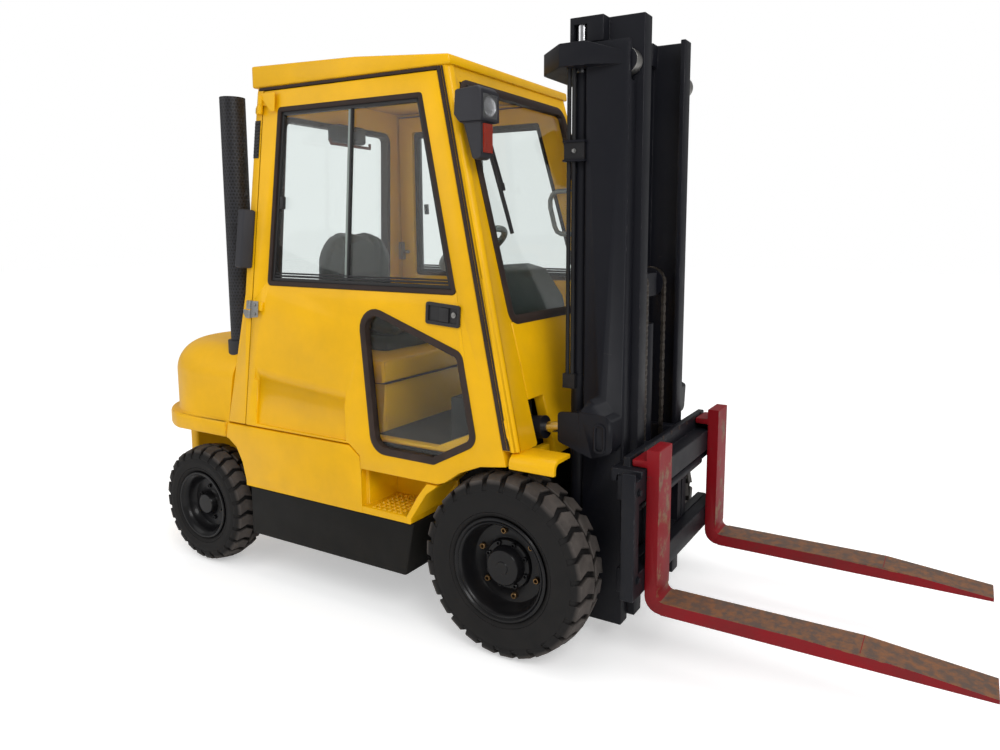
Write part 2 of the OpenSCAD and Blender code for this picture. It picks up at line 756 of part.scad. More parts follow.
// Cab frame: side frames around the doors, front pillars, headers and the rear wall
wall_z = 1240;
wall_run = (rear_edge(door_top) - 44 - rear_edge(wall_z) + 52) / (door_top + 14 - wall_z);
function wall_x(z) = rear_edge(wall_z) - 52 + (z - wall_z) * wall_run;
wall_t = 34;
pillar_foot_z = 985;
pillar_r = 24;
side_outline = [
  [seam_x(seam_z + door_gap) + 2, seam_z + door_gap], [rear_edge(seam_z), seam_z + door_gap],
  [rear_edge(seam_z), fender_z + 6], [cab_front(fender_z + 6) - pillar_r, fender_z + 6],
  [cab_front(door_top + 14) - pillar_r, door_top + 14], [rear_edge(door_top) - 44, door_top + 14],
  [wall_x(wall_z), wall_z], [seam_x(pillar_foot_z) + 2, pillar_foot_z]
];
module side_frame() {
  lean_in() {
    difference() {
      plate_xz(side_outline, -half_w, -half_w + cab_wall);
      plate_xz(door_outline(door_gap), -half_w - 1, -half_w + cab_wall + 1);
    }
    for (z = hinge_zs) hinge_place(z) {
      translate([0, 0, -hinge_half]) cylinder(r = hinge_r, h = hinge_half - 1);
      translate([0, 0, -2]) cylinder(r = hinge_pin_r, h = hinge_half + 2);
      box([-34, 4, -hinge_half], [-1, hinge_out + 2, -1]);
    }
  }
}
module front_frame() {
  low = fender_z + seat_gap;
  top = door_top + 10;
  lip = 3;
  outline = [[cab_front(low) - cab_wall, low], [cab_front(low) - lip, low], [cab_front(top) - lip, top],
    [cab_front(top) - cab_wall, top]];
  intersection() {
    difference() {
      plate_xz(outline, -half_w, half_w);
      box([-600, -screen_w / 2, screen_z], [200, screen_w / 2, door_top - 42]);
      box([-600, -panel_half - seat_gap, low - 1], [200, panel_half + seat_gap, screen_z + seat_gap]);
    }
    rotate([90, 0, 90]) translate([0, 0, -700]) linear_extrude(1000) polygon([
      [-cab_half(low) + pillar_r, low], [cab_half(low) - pillar_r, low],
      [cab_half(top) - pillar_r, top], [-cab_half(top) + pillar_r, top]]);
  }
}
function rear_window(inset) = [[-370 + inset, 1240 + inset], [370 - inset, 1240 + inset],
  [340 - inset, 1990 - inset], [-340 + inset, 1990 - inset]];
module rear_slab(set_in, t, low, top) {
  plate_xz([[wall_x(low) + set_in, low], [wall_x(low) + set_in + t, low], [wall_x(top) + set_in + t, top],
    [wall_x(top) + set_in, top]], -half_w, half_w);
}
module through_x(outline) {
  rotate([90, 0, 90]) translate([0, 0, rear_x]) linear_extrude(wheelbase / 2) polygon(outline);
}
module rear_wall() {
  low = cw_top + 2;
  top = door_top + 10;
  difference() {
    intersection() {
      rear_slab(5, wall_t, low, top);
      through_x([[-cab_half(low) + 4, low], [cab_half(low) - 4, low], [cab_half(top) - 4, top],
        [-cab_half(top) + 4, top]]);
    }
    through_x(rear_window(0));
  }
}
// Door sill beside the floor, rising over the front wheel
module sill() {
  front = fender_back - 2;
  top = floor_z + 6;
  low = frame_top + 3;
  plate_xz([[-hood_front + 1, low], [front, low], [front, top + 128], [-180, top + 70], [-340, top],
    [-hood_front + 1, top]], -half_w + sill_in, -floor_half - seat_gap);
}
// Rounded corner column of a front pillar
module pillar_column() {
  low = fender_z + 6;
  top = door_top + 10;
  in_x = pillar_r / cos(front_slope);
  in_y = pillar_r / cos(lean_a);
  function axis_at(z) = [cab_front(z) - in_x, -cab_half(z) + in_y, z];
  run = axis_at(top + pillar_r) - axis_at(low - pillar_r);
  intersection() {
    translate(axis_at(low - pillar_r)) rotate([0, acos(run[2] / norm(run)), atan2(run[1], run[0])])
      cylinder(r = pillar_r, h = norm(run));
    box([-half_w, -half_w, low], [half_w, 0, top]);
  }
}
module cab_frame() {
  color(yellow) in_frame() {
    both_sides() {
      side_frame();
      pillar_column();
      sill();
    }
    front_frame();
    rear_wall();
  }
}

// Roof with a shallow ridge and a fascia along each side
module cab_roof() {
  low = door_top + 10 + seat_gap;
  rear = rear_edge(door_top) - 66;
  front = cab_front(low) + 8;
  ridge = -725;
  color(yellow) in_frame() plate_xz([
    [rear, low], [front, low], [front - 4, low + roof_lip], [ridge, roof_z - 18], [rear, roof_z]
  ], -roof_w / 2, roof_w / 2);
}

// Windscreen and rear window
module cab_glass() {
  top = door_top - 42 - seat_gap;
  low = screen_z + seat_gap;
  set_in = 12;
  outline = [[cab_front(low) - set_in - glass_t, low], [cab_front(low) - set_in, low],
    [cab_front(top) - set_in, top], [cab_front(top) - set_in - glass_t, top]];
  color(glass_tint) in_frame() {
    plate_xz(outline, -screen_w / 2 + seat_gap, screen_w / 2 - seat_gap);
    intersection() {
      rear_slab(wall_t / 2, glass_t, cw_top, door_top);
      through_x(rear_window(seat_gap));
    }
  }
}

// Dash with the steering column and the hydraulic levers
wheel_c = [-490, 0, 1432];
column_l = 320;
dash_left = 150;
wheel_tilt = 35;
column_r = 24;
shaft_r = 11;
module column_place() {
  translate(wheel_c) rotate([0, -wheel_tilt, 0]) children();
}
module dash_console() {
  back = cab_front(1190) - cab_wall - 12;
  pod = [[back, 1176], [back - 16, 1240], [-215, 1352], [-300, 1372], [-336, 1330], [-300, 1180],
    [-262, 1040], [-120, 1040]];
  foot = [[-262, 1060], [-262, floor_z + seat_gap], [-150, floor_z + seat_gap], [-122, 1060]];
  color(trim_grey) in_frame() {
    plate_xz(pod, -310, dash_left);
    plate_xz(foot, -230, dash_left);
    column_place() translate([0, 0, -column_l]) cylinder(r = column_r, h = column_l - 21);
    column_place() translate([0, 0, -30]) cylinder(r = shaft_r, h = 48);
    for (i = [0:3]) translate([-300, -204 - i * 28, 1360]) rotate([0, -14, 0]) {
      cylinder(r = 6, h = 110);
      translate([0, 0, 110]) sphere(r = 15);
    }
  }
}
module steering_wheel() {
  ring_r = 150;
  grip_r = 14;
  color(trim_grey) in_frame() column_place() {
    rotate_extrude() translate([ring_r, 0]) circle(grip_r);
    difference() {
      translate([0, 0, -20]) cylinder(r = 40, h = 34);
      translate([0, 0, -21]) cylinder(r = shaft_r + fit, h = 42);
    }
    for (a = [0, 120, 240]) rotate([0, 0, a + 60]) box([34, -12, -5], [ring_r, 12, 5]);
  }
}

// Driver's seat
seat_x = -1010;
module seat_base() {
  color(skirt_black) in_frame() box([seat_x - 190, -200, hood_z], [seat_x + 200, 200, hood_z + 70]);
}
module seat_cushion() {
  low = hood_z + 70 + seat_gap;
  color(trim_grey) in_frame()
    plate_xz([[seat_x - 90, low], [seat_x + 230, low], [seat_x + 270, low + 60], [seat_x + 235, low + 112],
      [seat_x - 90, low + 92]], -235, 235);
}
module seat_back() {
  low = hood_z + 70 + seat_gap;
  color(trim_grey) in_frame()
    plate_xz([[seat_x - 200, low], [seat_x - 90 - seat_gap, low], [seat_x - 90 - seat_gap, low + 100],
      [seat_x - 100, low + 430], [seat_x - 190, low + 440], [seat_x - 225, low + 380]], -225, 225);
}

// Exhaust stack with its guard, standing on the counterweight
stack_at = [rear_x + 175, -424];
module exhaust_stack() {
  collar_h = 26;
  collar_low = cw_top - 38;
  color(skirt_black) in_frame() difference() {
    translate([stack_at[0], stack_at[1], 0]) difference() {
      union() {
        translate([0, 0, collar_low]) cylinder(d = stack_d + 26, h = cw_top + collar_h - collar_low);
        translate([0, 0, cw_top]) cylinder(d = stack_d, h = stack_z - cw_top);
      }
      translate([0, 0, cw_top + 120]) cylinder(d = stack_d - 14, h = stack_z - cw_top);
      translate([-stack_d, 0, stack_z]) rotate([0, -24, 0]) box([-100, -200, 0], [400, 200, 200]);
    }
    translate([0, 0, seat_gap]) cw_upper();
  }
}

// Lamps on the front pillars and behind the rear pillars
lamp_z = 1870;
module lamp_place() {
  translate([cab_front(lamp_z), -cab_half(lamp_z) + 18, lamp_z]) children();
}
module lamp_housings() {
  color(skirt_black) in_frame() both_sides() {
    lamp_place() {
      difference() {
        union() {
          plate_xz([[2, 36], [22, 8], [120, 8], [120, 112], [104, 127], [8, 120]], -60, 50);
          plate_xz([[34, 12], [112, 12], [112, -104], [98, -118], [72, -118]], -50, 20);
        }
        box([112, -52, 18], [130, 42, 104]);
        box([104, -42, -96], [130, 12, 2]);
      }
      plate_xz([[-30 * front_tan + seat_gap, 30], [6, 30], [6, 70], [-70 * front_tan + seat_gap, 70]], 8, 30);
    }
    rear_lamp();
  }
}
module rear_lamp() {
  mid_z = 1473;
  lamp_h = 244;
  out = 44;
  lean_in() translate([wall_x(mid_z), -half_w, mid_z]) rotate([0, atan(wall_run), 0])
    translate([0, 0, -lamp_h / 2]) linear_extrude(lamp_h) polygon([
      [-22, 40], [-22, -out], [18, -out], [40, -seat_gap], [-seat_gap, -seat_gap], [-seat_gap, 40]
    ]);
}
module lamp_lenses() {
  color([0.9, 0.92, 0.93]) in_frame() both_sides() lamp_place()
    box([112, -52 + seat_gap, 18 + seat_gap], [119, 42 - seat_gap, 104 - seat_gap]);
}
module indicator_lenses() {
  color([0.85, 0.25, 0.05]) in_frame() both_sides() lamp_place()
    box([104, -42 + seat_gap, -96 + seat_gap], [118, 12 - seat_gap, 2 - seat_gap]);
}

// Outer mast: two channel rails, cross members, hangers on the drive axle and tilt brackets
rail_out = mast_w / 2;
rail_in = rail_out - rail_w;
inner_out = rail_in - 6;
inner_in = inner_out - inner_rail_w;
rail_front = mast_x + rail_d;
inner_back = mast_x + flange_t - 1;
inner_front = rail_front + 25;
lift_x = mast_x - lift_r - 4;
lift_y = rail_out - lift_r - 14;
top_roller_r = 42;
roller_z = outer_top - 66;
head_h = 78;
head_low = outer_top - head_h - 1;
module outer_rail() {
  difference() {
    box([mast_x, -rail_out, outer_foot], [rail_front, -rail_in, outer_top]);
    box([mast_x + flange_t, -rail_out + web_t, outer_foot - 1],
      [rail_front - flange_t, -rail_in + 1, outer_top + 1]);
    box([rail_front - flange_t - 1, -rail_out + web_t, roller_z - top_roller_r - 22],
      [rail_front + 1, -rail_in + 1, outer_top + 1]);
  }
  bar_y(rail_front - 22, roller_z, top_roller_r, -rail_out + web_t - 1, -inner_out - 2);
}
module head_member() {
  out = rail_out + 42;
  back = mast_x - 208;
  nose = rail_front - 25;
  difference() {
    translate([0, 0, head_low]) linear_extrude(head_h) yoke_plan(out, back, nose);
    both_sides()
      plate_xz([[nose - 125, outer_top], [nose + 1, outer_top], [nose + 1, outer_top - 38]], -out, -rail_out);
  }
}
module yoke_plan(out, back, nose) {
  difference() {
    polygon([[nose, -rail_out], [nose - 107, -out], [back + 125, -out], [back, -rail_out + 75],
      [back, rail_out - 75], [back + 125, out], [nose - 107, out], [nose, rail_out]]);
    polygon([[rail_front, -rail_out], [mast_x, -rail_out], [mast_x, -rail_in], [mast_x - 4, -rail_in],
      [mast_x - 2 * lift_r - 12, -rail_in + 30], [mast_x - 2 * lift_r - 12, rail_in - 30],
      [mast_x - 4, rail_in], [mast_x, rail_in], [mast_x, rail_out], [rail_front, rail_out]]);
    for (side = [-1, 1]) translate([lift_x, side * lift_y]) circle(lift_rod_r + 6);
  }
}
module tilt_bracket() {
  corners = [[-62, 58, 12], [24, 64, 14], [62, 121, 12], [92, 100, 14], [122, 64, 20], [153, 50, 14],
    [148, -67, 26], [73, -92, 20], [20, -76, 14], [-62, -48, 14]];
  plate = rounded([for (c = corners) [mast_x + c[0], tilt_pin_z + c[1], c[2]]]);
  y_mid = -tilt_span / 2;
  ear = 12;
  eye = tilt_eye_w / 2 + 1;
  plate_xz(plate, y_mid - eye - ear, y_mid - eye);
  difference() {
    plate_xz(plate, y_mid - eye - ear, -rail_out);
    plate_xz([[mast_x - 200, tilt_pin_z - 200], [mast_x + 2, tilt_pin_z - 200],
      [mast_x + 2, tilt_pin_z + 200], [mast_x - 200, tilt_pin_z + 200]], y_mid - eye, -rail_out + 1);
  }
  bar_y(tilt_pin_x, tilt_pin_z, tilt_pin_r, y_mid - eye - ear, y_mid + eye);
}
hanger_top = front_r + 160;
module hanger() {
  difference() {
    union() {
      bar_y(0, front_r, journal_r + 34, -rail_out, -rail_in);
      plate_xz([[0, front_r - 100], [mast_x, outer_foot + 60], [mast_x, hanger_top],
        [lift_x - lift_r - 12, hanger_top], [0, front_r + 100]], -rail_out, -rail_in);
    }
    bar_y(0, front_r, journal_r + fit, -rail_out - 1, -rail_in + 1);
  }
}
cross_t = 13;
cross_h = 90;
cross_z = 1010;
module outer_mast() {
  color(mast_black) in_frame() {
    both_sides() {
      outer_rail();
      hanger();
      tilt_bracket();
    }
    head_member();
    for (z = [outer_foot, cross_z]) {
      box([mast_x, -rail_in - 4, z], [mast_x + cross_t, rail_in + 4, z + cross_h]);
    }
  }
}

// Lift cylinder barrels behind the outer rails, and their rods up to the inner mast
module lift_cylinders() {
  low = hanger_top + seat_gap;
  top = outer_top - 90;
  color(mast_black) in_frame() both_sides() translate([lift_x, -lift_y, 0]) difference() {
    union() {
      translate([0, 0, low]) cylinder(r = lift_r, h = top - low);
      translate([0, 0, 950]) cylinder(r = lift_r + 3, h = 46);
    }
    translate([0, 0, low + 30]) cylinder(r = lift_rod_r + fit, h = top - low);
  }
}
// Two hoses down the right rail with their clamp
module mast_hoses() {
  hose_r = 7.5;
  y = -rail_out + 1;
  block_back = lift_x - 42;
  clamp = [1750, 1815];
  port = [948, 1000];
  low = port[0] + 14;
  top = head_low - seat_gap;
  color(rubber_black) in_frame() {
    for (x = [lift_x - 28, lift_x - 9]) translate([x, y, low]) cylinder(r = hose_r, h = top - low);
    box([block_back, y - 11, clamp[0]], [mast_x - seat_gap, y + 11, clamp[1]]);
    box([block_back, y - 11, port[0]], [lift_x + 6, y + 8, port[1]]);
  }
}
inner_head_z = inner_top - 60;
lift_rod_top = inner_head_z + 36;
module lift_rods() {
  low = hanger_top + 40;
  color(steel) in_frame() both_sides()
    translate([lift_x, -lift_y, low]) cylinder(r = lift_rod_r, h = lift_rod_top - low);
}

// Inner mast: two channel rails that open inwards, with guide rollers in the outer rails
inner_foot = outer_foot + 15;
module inner_mast() {
  roller_r = rail_d / 2 - flange_t - seat_gap;
  roller_x = mast_x + rail_d / 2;
  color(mast_black) in_frame() {
    both_sides() {
      difference() {
        box([inner_back, -inner_out, inner_foot], [inner_front, -inner_in, inner_top]);
        box([inner_back + flange_t, -inner_out + web_t, inner_foot - 1],
          [inner_front - flange_t, -inner_in + 1, inner_top + 1]);
      }
      for (z = [inner_foot + 90, inner_foot + 320])
        bar_y(roller_x, z, roller_r, -rail_out + web_t + 2, -inner_out);
      head_y = lift_y + lift_rod_r + 8;
      head_drop = 26;
      difference() {
        box([lift_x - 37, -head_y, inner_head_z - head_drop], [inner_back + 35, -inner_in, inner_top]);
        box([lift_x - lift_rod_r - 4, -head_y - 1, inner_head_z - head_drop - 1],
          [lift_x + lift_rod_r + 8, -lift_y + lift_rod_r + 4, lift_rod_top]);
      }
    }
    box([lift_x - 30, -inner_in, inner_head_z], [lift_x + 30, inner_in, inner_top]);
    for (z = [inner_foot, chain_anchor_z - 70])
      box([inner_back, -inner_in - 4, z], [inner_back + 11, inner_in + 4, z + 70]);
    box([inner_back, -free_r, inner_foot], [free_x + free_r, free_r, free_foot]);
    for (side = [-1, 1]) chain_anchor(side);
  }
}

// Free-lift cylinder in the middle of the inner mast, its crosshead and the lift chains
free_x = inner_back + 75;
free_foot = inner_foot + 40;
free_top = sheave_z - 150;
free_rod_r = 30;
chain_rear_x = free_x - sheave_r - 6;
chain_anchor_z = 1000;
module chain_anchor(side) {
  y = side * chain_span / 2;
  box([inner_back, y - chain_w / 2 - 4, 960], [chain_rear_x + 8, y + chain_w / 2 + 4, chain_anchor_z]);
}
module free_lift_barrel() {
  color(mast_black) in_frame() translate([free_x, 0, 0]) difference() {
    translate([0, 0, free_foot]) cylinder(r = free_r, h = free_top - free_foot);
    translate([0, 0, free_foot + 40]) cylinder(r = free_rod_r + fit, h = free_top);
  }
}
module crosshead() {
  axle_half = chain_span / 2 + chain_w / 2 + 14;
  color(mast_black) in_frame() {
    translate([free_x, 0, free_foot + 150]) cylinder(r = free_rod_r, h = sheave_z - free_foot - 150);
    box([free_x - 40, -52, sheave_z - 46], [free_x + 40, 52, sheave_z + 40]);
    bar_y(free_x, sheave_z, 18, -axle_half, axle_half);
    for (side = [-1, 1]) {
      y = side * chain_span / 2;
      bar_y(free_x, sheave_z, sheave_r, y - chain_w / 2, y + chain_w / 2);
      bar_y(free_x, sheave_z, sheave_r + 8, y - chain_w / 2 - 6, y - chain_w / 2);
      bar_y(free_x, sheave_z, sheave_r + 8, y + chain_w / 2, y + chain_w / 2 + 6);
    }
  }
}
carriage_anchor_z = 566;
chain_t = 12;
module lift_chains() {
  color(mast_black) in_frame() for (side = [-1, 1]) {
    y0 = side * chain_span / 2 - chain_w / 2 + seat_gap;
    y1 = side * chain_span / 2 + chain_w / 2 - seat_gap;
    box([free_x + sheave_r + seat_gap, y0, carriage_anchor_z], [free_x + sheave_r + chain_t, y1, sheave_z]);
    box([free_x - sheave_r - chain_t, y0, chain_anchor_z + seat_gap],
      [free_x - sheave_r - seat_gap, y1, sheave_z]);
    intersection() {
      difference() {
        bar_y(free_x, sheave_z, sheave_r + chain_t, y0, y1);
        bar_y(free_x, sheave_z, sheave_r + seat_gap, y0 - 1, y1 + 1);
      }
      box([free_x - 200, y0 - 2, sheave_z], [free_x + 200, y1 + 2, sheave_z + 200]);
    }
  }
}

// Carriage with its rollers, and the side-shift frame hung on it
carriage_back = inner_front + 14;
carriage_front = carriage_back + bar_t;
carriage_top = carriage_z + carriage_h;
bar_h = 84;
carriage_half = shift_w / 2 - 52;
shift_back = carriage_front + seat_gap;
shift_front = blade_x - fork_t - seat_gap;
shift_travel = 100;
ram_r = 20;
ram_rod_r = 10;
ram_half = 230;
ram_x = (shift_back + shift_front) / 2;
ram_z = carriage_top - bar_h - ram_r - 10;
module carriage() {
  arm_out = inner_in - 4;
  arm_in = arm_out - 40;
  roller_r = (inner_front - inner_back) / 2 - flange_t - seat_gap;
  roller_x = (inner_front + inner_back) / 2;
  color(mast_black) in_frame() {
    for (z = [carriage_z, carriage_top - bar_h])
      box([carriage_back, -carriage_half, z], [carriage_front, carriage_half, z + bar_h]);
    both_sides() {
      box([roller_x - 50, -arm_out, carriage_z], [carriage_back, -arm_in, carriage_top + 40]);
      box([carriage_back, -arm_out, carriage_z + bar_h], [carriage_front, -arm_in, carriage_top - bar_h]);
      for (z = [carriage_z + 90, carriage_top - 50])
        bar_y(roller_x, z, roller_r, -inner_out + web_t + 2, -arm_in);
    }
    difference() {
      union() {
        bar_y(ram_x, ram_z, ram_r, -ram_half, ram_half);
        for (side = [-1, 1])
          box([carriage_front - 1, side * 80 - 15, ram_z - 14], [ram_x, side * 80 + 15, ram_z + 14]);
      }
      bar_y(ram_x, ram_z, ram_rod_r + fit, -ram_half - 1, ram_half + 1);
    }
    anchor_low = carriage_anchor_z - 40;
    for (side = [-1, 1]) {
      y = side * chain_span / 2;
      box([free_x + sheave_r - 8, y - chain_w / 2 - 8, anchor_low],
        [free_x + sheave_r + chain_t + 8, y + chain_w / 2 + 8, carriage_anchor_z - seat_gap]);
      box([free_x + sheave_r - 8, y - chain_w / 2 - 8, anchor_low],
        [carriage_front, y + chain_w / 2 + 8, anchor_low + 26]);
      box([carriage_back, y - 20, carriage_z + bar_h], [carriage_front, y + 20, carriage_top - bar_h]);
    }
  }
}
module side_shift() {
  end_t = 44;
  hook_t = 22;
  hook_out = 430;
  hook_in = 345;
  top_bar_half = 400;
  top_bar_h = 55;
  color(mast_black) in_frame() {
    for (z = [carriage_z, carriage_top - bar_h])
      box([shift_back, -shift_w / 2, z], [shift_front, shift_w / 2, z + bar_h]);
    both_sides() {
      box([shift_back, -shift_w / 2, carriage_z], [shift_front, -shift_w / 2 + end_t, carriage_top]);
      hook_back = carriage_back - 6 - hook_t;
      box([hook_back, -hook_out, carriage_top + seat_gap], [shift_front, -hook_in, carriage_top + hook_t]);
      box([hook_back, -hook_out, carriage_top - 24], [hook_back + hook_t, -hook_in, carriage_top + hook_t]);
      box([shift_back, -hook_out, carriage_top - bar_h], [shift_front, -hook_in, carriage_top + hook_t]);
      box([shift_back, -shift_w / 2, carriage_top], [shift_front, -shift_w / 2 + 12, carriage_top + 28]);
    }
    box([carriage_back + 3, -top_bar_half, carriage_top + seat_gap],
      [shift_back - 7, top_bar_half, carriage_top + top_bar_h]);
    for (side = [-1, 1]) {
      bar_y(ram_x, ram_z, ram_rod_r, side > 0 ? shift_travel : end_t - shift_w / 2 - ram_rod_r,
        side > 0 ? shift_w / 2 - end_t + ram_rod_r : -shift_travel);
    }
  }
}

// Fork: tapered blade, shank and hooks on the side-shift bars
module fork(side) {
  y0 = side * fork_span / 2 - fork_w / 2;
  tip_t = 12;
  taper_l = 360;
  hook_low = carriage_top + 24;
  hook_top = carriage_top + 48;
  back = blade_x - fork_t;
  outline = rounded([
    [back, fork_z, 56], [tip_x, fork_z, 2], [tip_x, fork_z + tip_t, 2],
    [tip_x - taper_l, fork_z + fork_t, 60], [blade_x, fork_z + fork_t, 22],
    [blade_x, fork_z + fork_h, 3], [back, fork_z + fork_h, 3]
  ]);
  color(fork_red) in_frame() {
    plate_xz(outline, y0, y0 + fork_w);
    box([back, y0, hook_low - fork_w], [blade_x, y0 + fork_w, hook_top]);
    box([shift_back - 4, y0, hook_low], [blade_x, y0 + fork_w, hook_top]);
  }
}
module fork_right() {
  fork(-1);
}
module fork_left() {
  fork(1);
}

// Tilt cylinders: barrels pinned to the chassis, rods with an open eye at the mast
tilt_vec = [tilt_pin_x + tilt_rear_x, tilt_pin_z - tilt_rear_z];
tilt_len = norm(tilt_vec);
tilt_angle = atan2(tilt_vec[1], tilt_vec[0]);
barrel_end = tilt_len - 94;
module tilt_place(side) {
  in_frame() translate([-tilt_rear_x, side * tilt_span / 2, tilt_rear_z])
    rotate([0, -tilt_angle, 0]) children();
}
module tilt_barrel(side) {
  eye_r = 28;
  color(mast_black) tilt_place(side) difference() {
    union() {
      bar_y(0, 0, eye_r, -tilt_eye_w / 2, tilt_eye_w / 2);
      rotate([0, 90, 0]) cylinder(r = eye_r - 6, h = 62);
      translate([60, 0, 0]) rotate([0, 90, 0]) cylinder(r = tilt_r, h = barrel_end - 60);
    }
    bar_y(0, 0, tilt_pin_r + fit, -tilt_eye_w, tilt_eye_w);
    translate([80, 0, 0]) rotate([0, 90, 0]) cylinder(r = tilt_rod_r + fit, h = barrel_end);
  }
}
module tilt_rod(side) {
  eye_r = 30;
  color(steel) tilt_place(side) difference() {
    union() {
      translate([180, 0, 0]) rotate([0, 90, 0]) cylinder(r = tilt_rod_r, h = tilt_len - 180 - 22);
      bar_y(tilt_len, 0, eye_r, -tilt_eye_w / 2, tilt_eye_w / 2);
    }
    bar_y(tilt_len, 0, tilt_pin_r + eye_gap, -tilt_eye_w, tilt_eye_w);
  }
}
module tilt_barrel_right() {
  tilt_barrel(-1);
}
module tilt_barrel_left() {
  tilt_barrel(1);
}
module tilt_rod_right() {
  tilt_rod(-1);
}
module tilt_rod_left() {
  tilt_rod(1);
}

chassis_frame();
counterweight();
side_panel_right();
side_panel_left();
front_fenders();
front_panel();
floor_plate();
engine_hood();
engine_block();
drive_axle();
steer_axle();
cab_frame();
cab_roof();
cab_glass();
dash_console();
seat_base();
seat_cushion();
seat_back();
exhaust_stack();
lamp_housings();
lamp_lenses();
indicator_lenses();
steering_wheel();
door_right();
door_right_glass();
door_left();
door_left_glass();
knuckle_right();
knuckle_left();
tyre_front_right();
tyre_front_left();
tyre_rear_right();
tyre_rear_left();
rim_front_right();
rim_front_left();
rim_rear_right();
rim_rear_left();
outer_mast();
lift_cylinders();
inner_mast();
lift_rods();
mast_hoses();
free_lift_barrel();
crosshead();
lift_chains();
carriage();
side_shift();
fork_right();
fork_left();
tilt_barrel_right();
tilt_barrel_left();
tilt_rod_right();
tilt_rod_left();
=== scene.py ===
"""Looks of a counterbalance forklift truck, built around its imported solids."""
import json
import math

import bmesh
import bpy
from mathutils import Matrix, Vector


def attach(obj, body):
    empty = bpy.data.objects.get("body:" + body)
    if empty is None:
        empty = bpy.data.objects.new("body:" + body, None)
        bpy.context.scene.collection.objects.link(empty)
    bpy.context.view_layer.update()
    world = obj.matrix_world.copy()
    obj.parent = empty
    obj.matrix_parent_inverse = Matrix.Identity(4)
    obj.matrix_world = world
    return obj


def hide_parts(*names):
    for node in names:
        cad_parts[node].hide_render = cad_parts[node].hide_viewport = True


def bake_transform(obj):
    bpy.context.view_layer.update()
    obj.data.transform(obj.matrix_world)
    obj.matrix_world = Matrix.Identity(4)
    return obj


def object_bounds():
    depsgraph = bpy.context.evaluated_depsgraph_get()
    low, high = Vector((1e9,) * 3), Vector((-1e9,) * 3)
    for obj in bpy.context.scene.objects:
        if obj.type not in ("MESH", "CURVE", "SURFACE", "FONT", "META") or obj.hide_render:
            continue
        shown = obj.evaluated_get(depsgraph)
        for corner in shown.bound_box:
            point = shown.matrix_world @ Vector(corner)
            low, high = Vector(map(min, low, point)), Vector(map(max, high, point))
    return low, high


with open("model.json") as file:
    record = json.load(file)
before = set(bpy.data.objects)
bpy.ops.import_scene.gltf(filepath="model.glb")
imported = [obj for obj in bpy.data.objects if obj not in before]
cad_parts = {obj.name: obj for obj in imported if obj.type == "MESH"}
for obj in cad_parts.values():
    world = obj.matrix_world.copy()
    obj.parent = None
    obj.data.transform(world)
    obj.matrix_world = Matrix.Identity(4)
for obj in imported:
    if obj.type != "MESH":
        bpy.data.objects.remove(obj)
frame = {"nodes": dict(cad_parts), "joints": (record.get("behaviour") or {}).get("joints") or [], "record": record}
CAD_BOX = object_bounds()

NODES = frame["nodes"]
JOINTS = {joint["name"]: joint for joint in frame["joints"]}
BODY_OF = {node: body for body, nodes in frame["record"]["behaviour"]["bodies"].items() for node in nodes}
FRONT_AXLE = Vector(JOINTS["mast_tilt"]["pos_m"])
SIDES = {"right": -1, "left": 1}
Y_AXIS = Vector((0, 1, 0))

# Sizes of the cab side, in metres from the front axle
BODY_HALF = 0.55
LEAN_Z = 0.64
LEAN = math.radians(4.4)
FRONT_FOOT = (0.014, 0.699)
FRONT_RUN = math.tan(math.radians(14.26))
PILLAR = 0.055
DOOR_REAR = (-1.300, 0.675)
HINGE_RUN = 0.078 / 1.405


def at(x, y, z):
    """A point given from the front axle, in the truck's frame."""
    return Vector((x + FRONT_AXLE.x, y, z))


def front_edge(z):
    return FRONT_FOOT[0] - (z - FRONT_FOOT[1]) * FRONT_RUN


def rear_edge(z):
    return DOOR_REAR[0] + (z - DOOR_REAR[1]) * HINGE_RUN


def cab_front(z):
    return front_edge(z) + PILLAR


def cab_half(z):
    return BODY_HALF - (z - LEAN_Z) * math.tan(LEAN)


def mirror(side):
    """Leaves a piece of the right side as it is, or mirrors it to the left."""
    return Matrix.Scale(-side, 4, Y_AXIS)


def lean_matrix(side):
    """Lays a piece on the leaned side of the cab, with y counted inwards from the face of the right side."""
    foot = Matrix.Translation((0, 0, LEAN_Z))
    leaned = foot @ Matrix.Rotation(-LEAN, 4, "X") @ foot.inverted()
    face = Matrix.Translation((0, -BODY_HALF, 0))
    return Matrix.Translation((FRONT_AXLE.x, 0, 0)) @ mirror(side) @ face @ leaned


# Camera
CAMERA_FROM_AXLE = (1.36484, -2.67441, 1.50341)
YAW, PITCH, ROLL = (math.radians(angle) for angle in (29.09, 7.34, 0.22))
LENS, SENSOR = 27.187, 36
SHIFT = (-0.0485, -0.0454)


def show(name, data):
    made = bpy.data.objects.new(name, data)
    bpy.context.scene.collection.objects.link(made)
    return made


def make_camera():
    data = bpy.data.cameras.new("camera")
    data.sensor_width = SENSOR
    data.lens = LENS
    data.shift_x, data.shift_y = SHIFT
    camera = show("camera", data)
    place = Matrix.Translation(at(*CAMERA_FROM_AXLE))
    for angle, axis in ((YAW, "Z"), (math.pi / 2 - PITCH, "X"), (ROLL, "Z")):
        place = place @ Matrix.Rotation(angle, 4, axis)
    camera.matrix_world = place
    bpy.context.scene.camera = camera


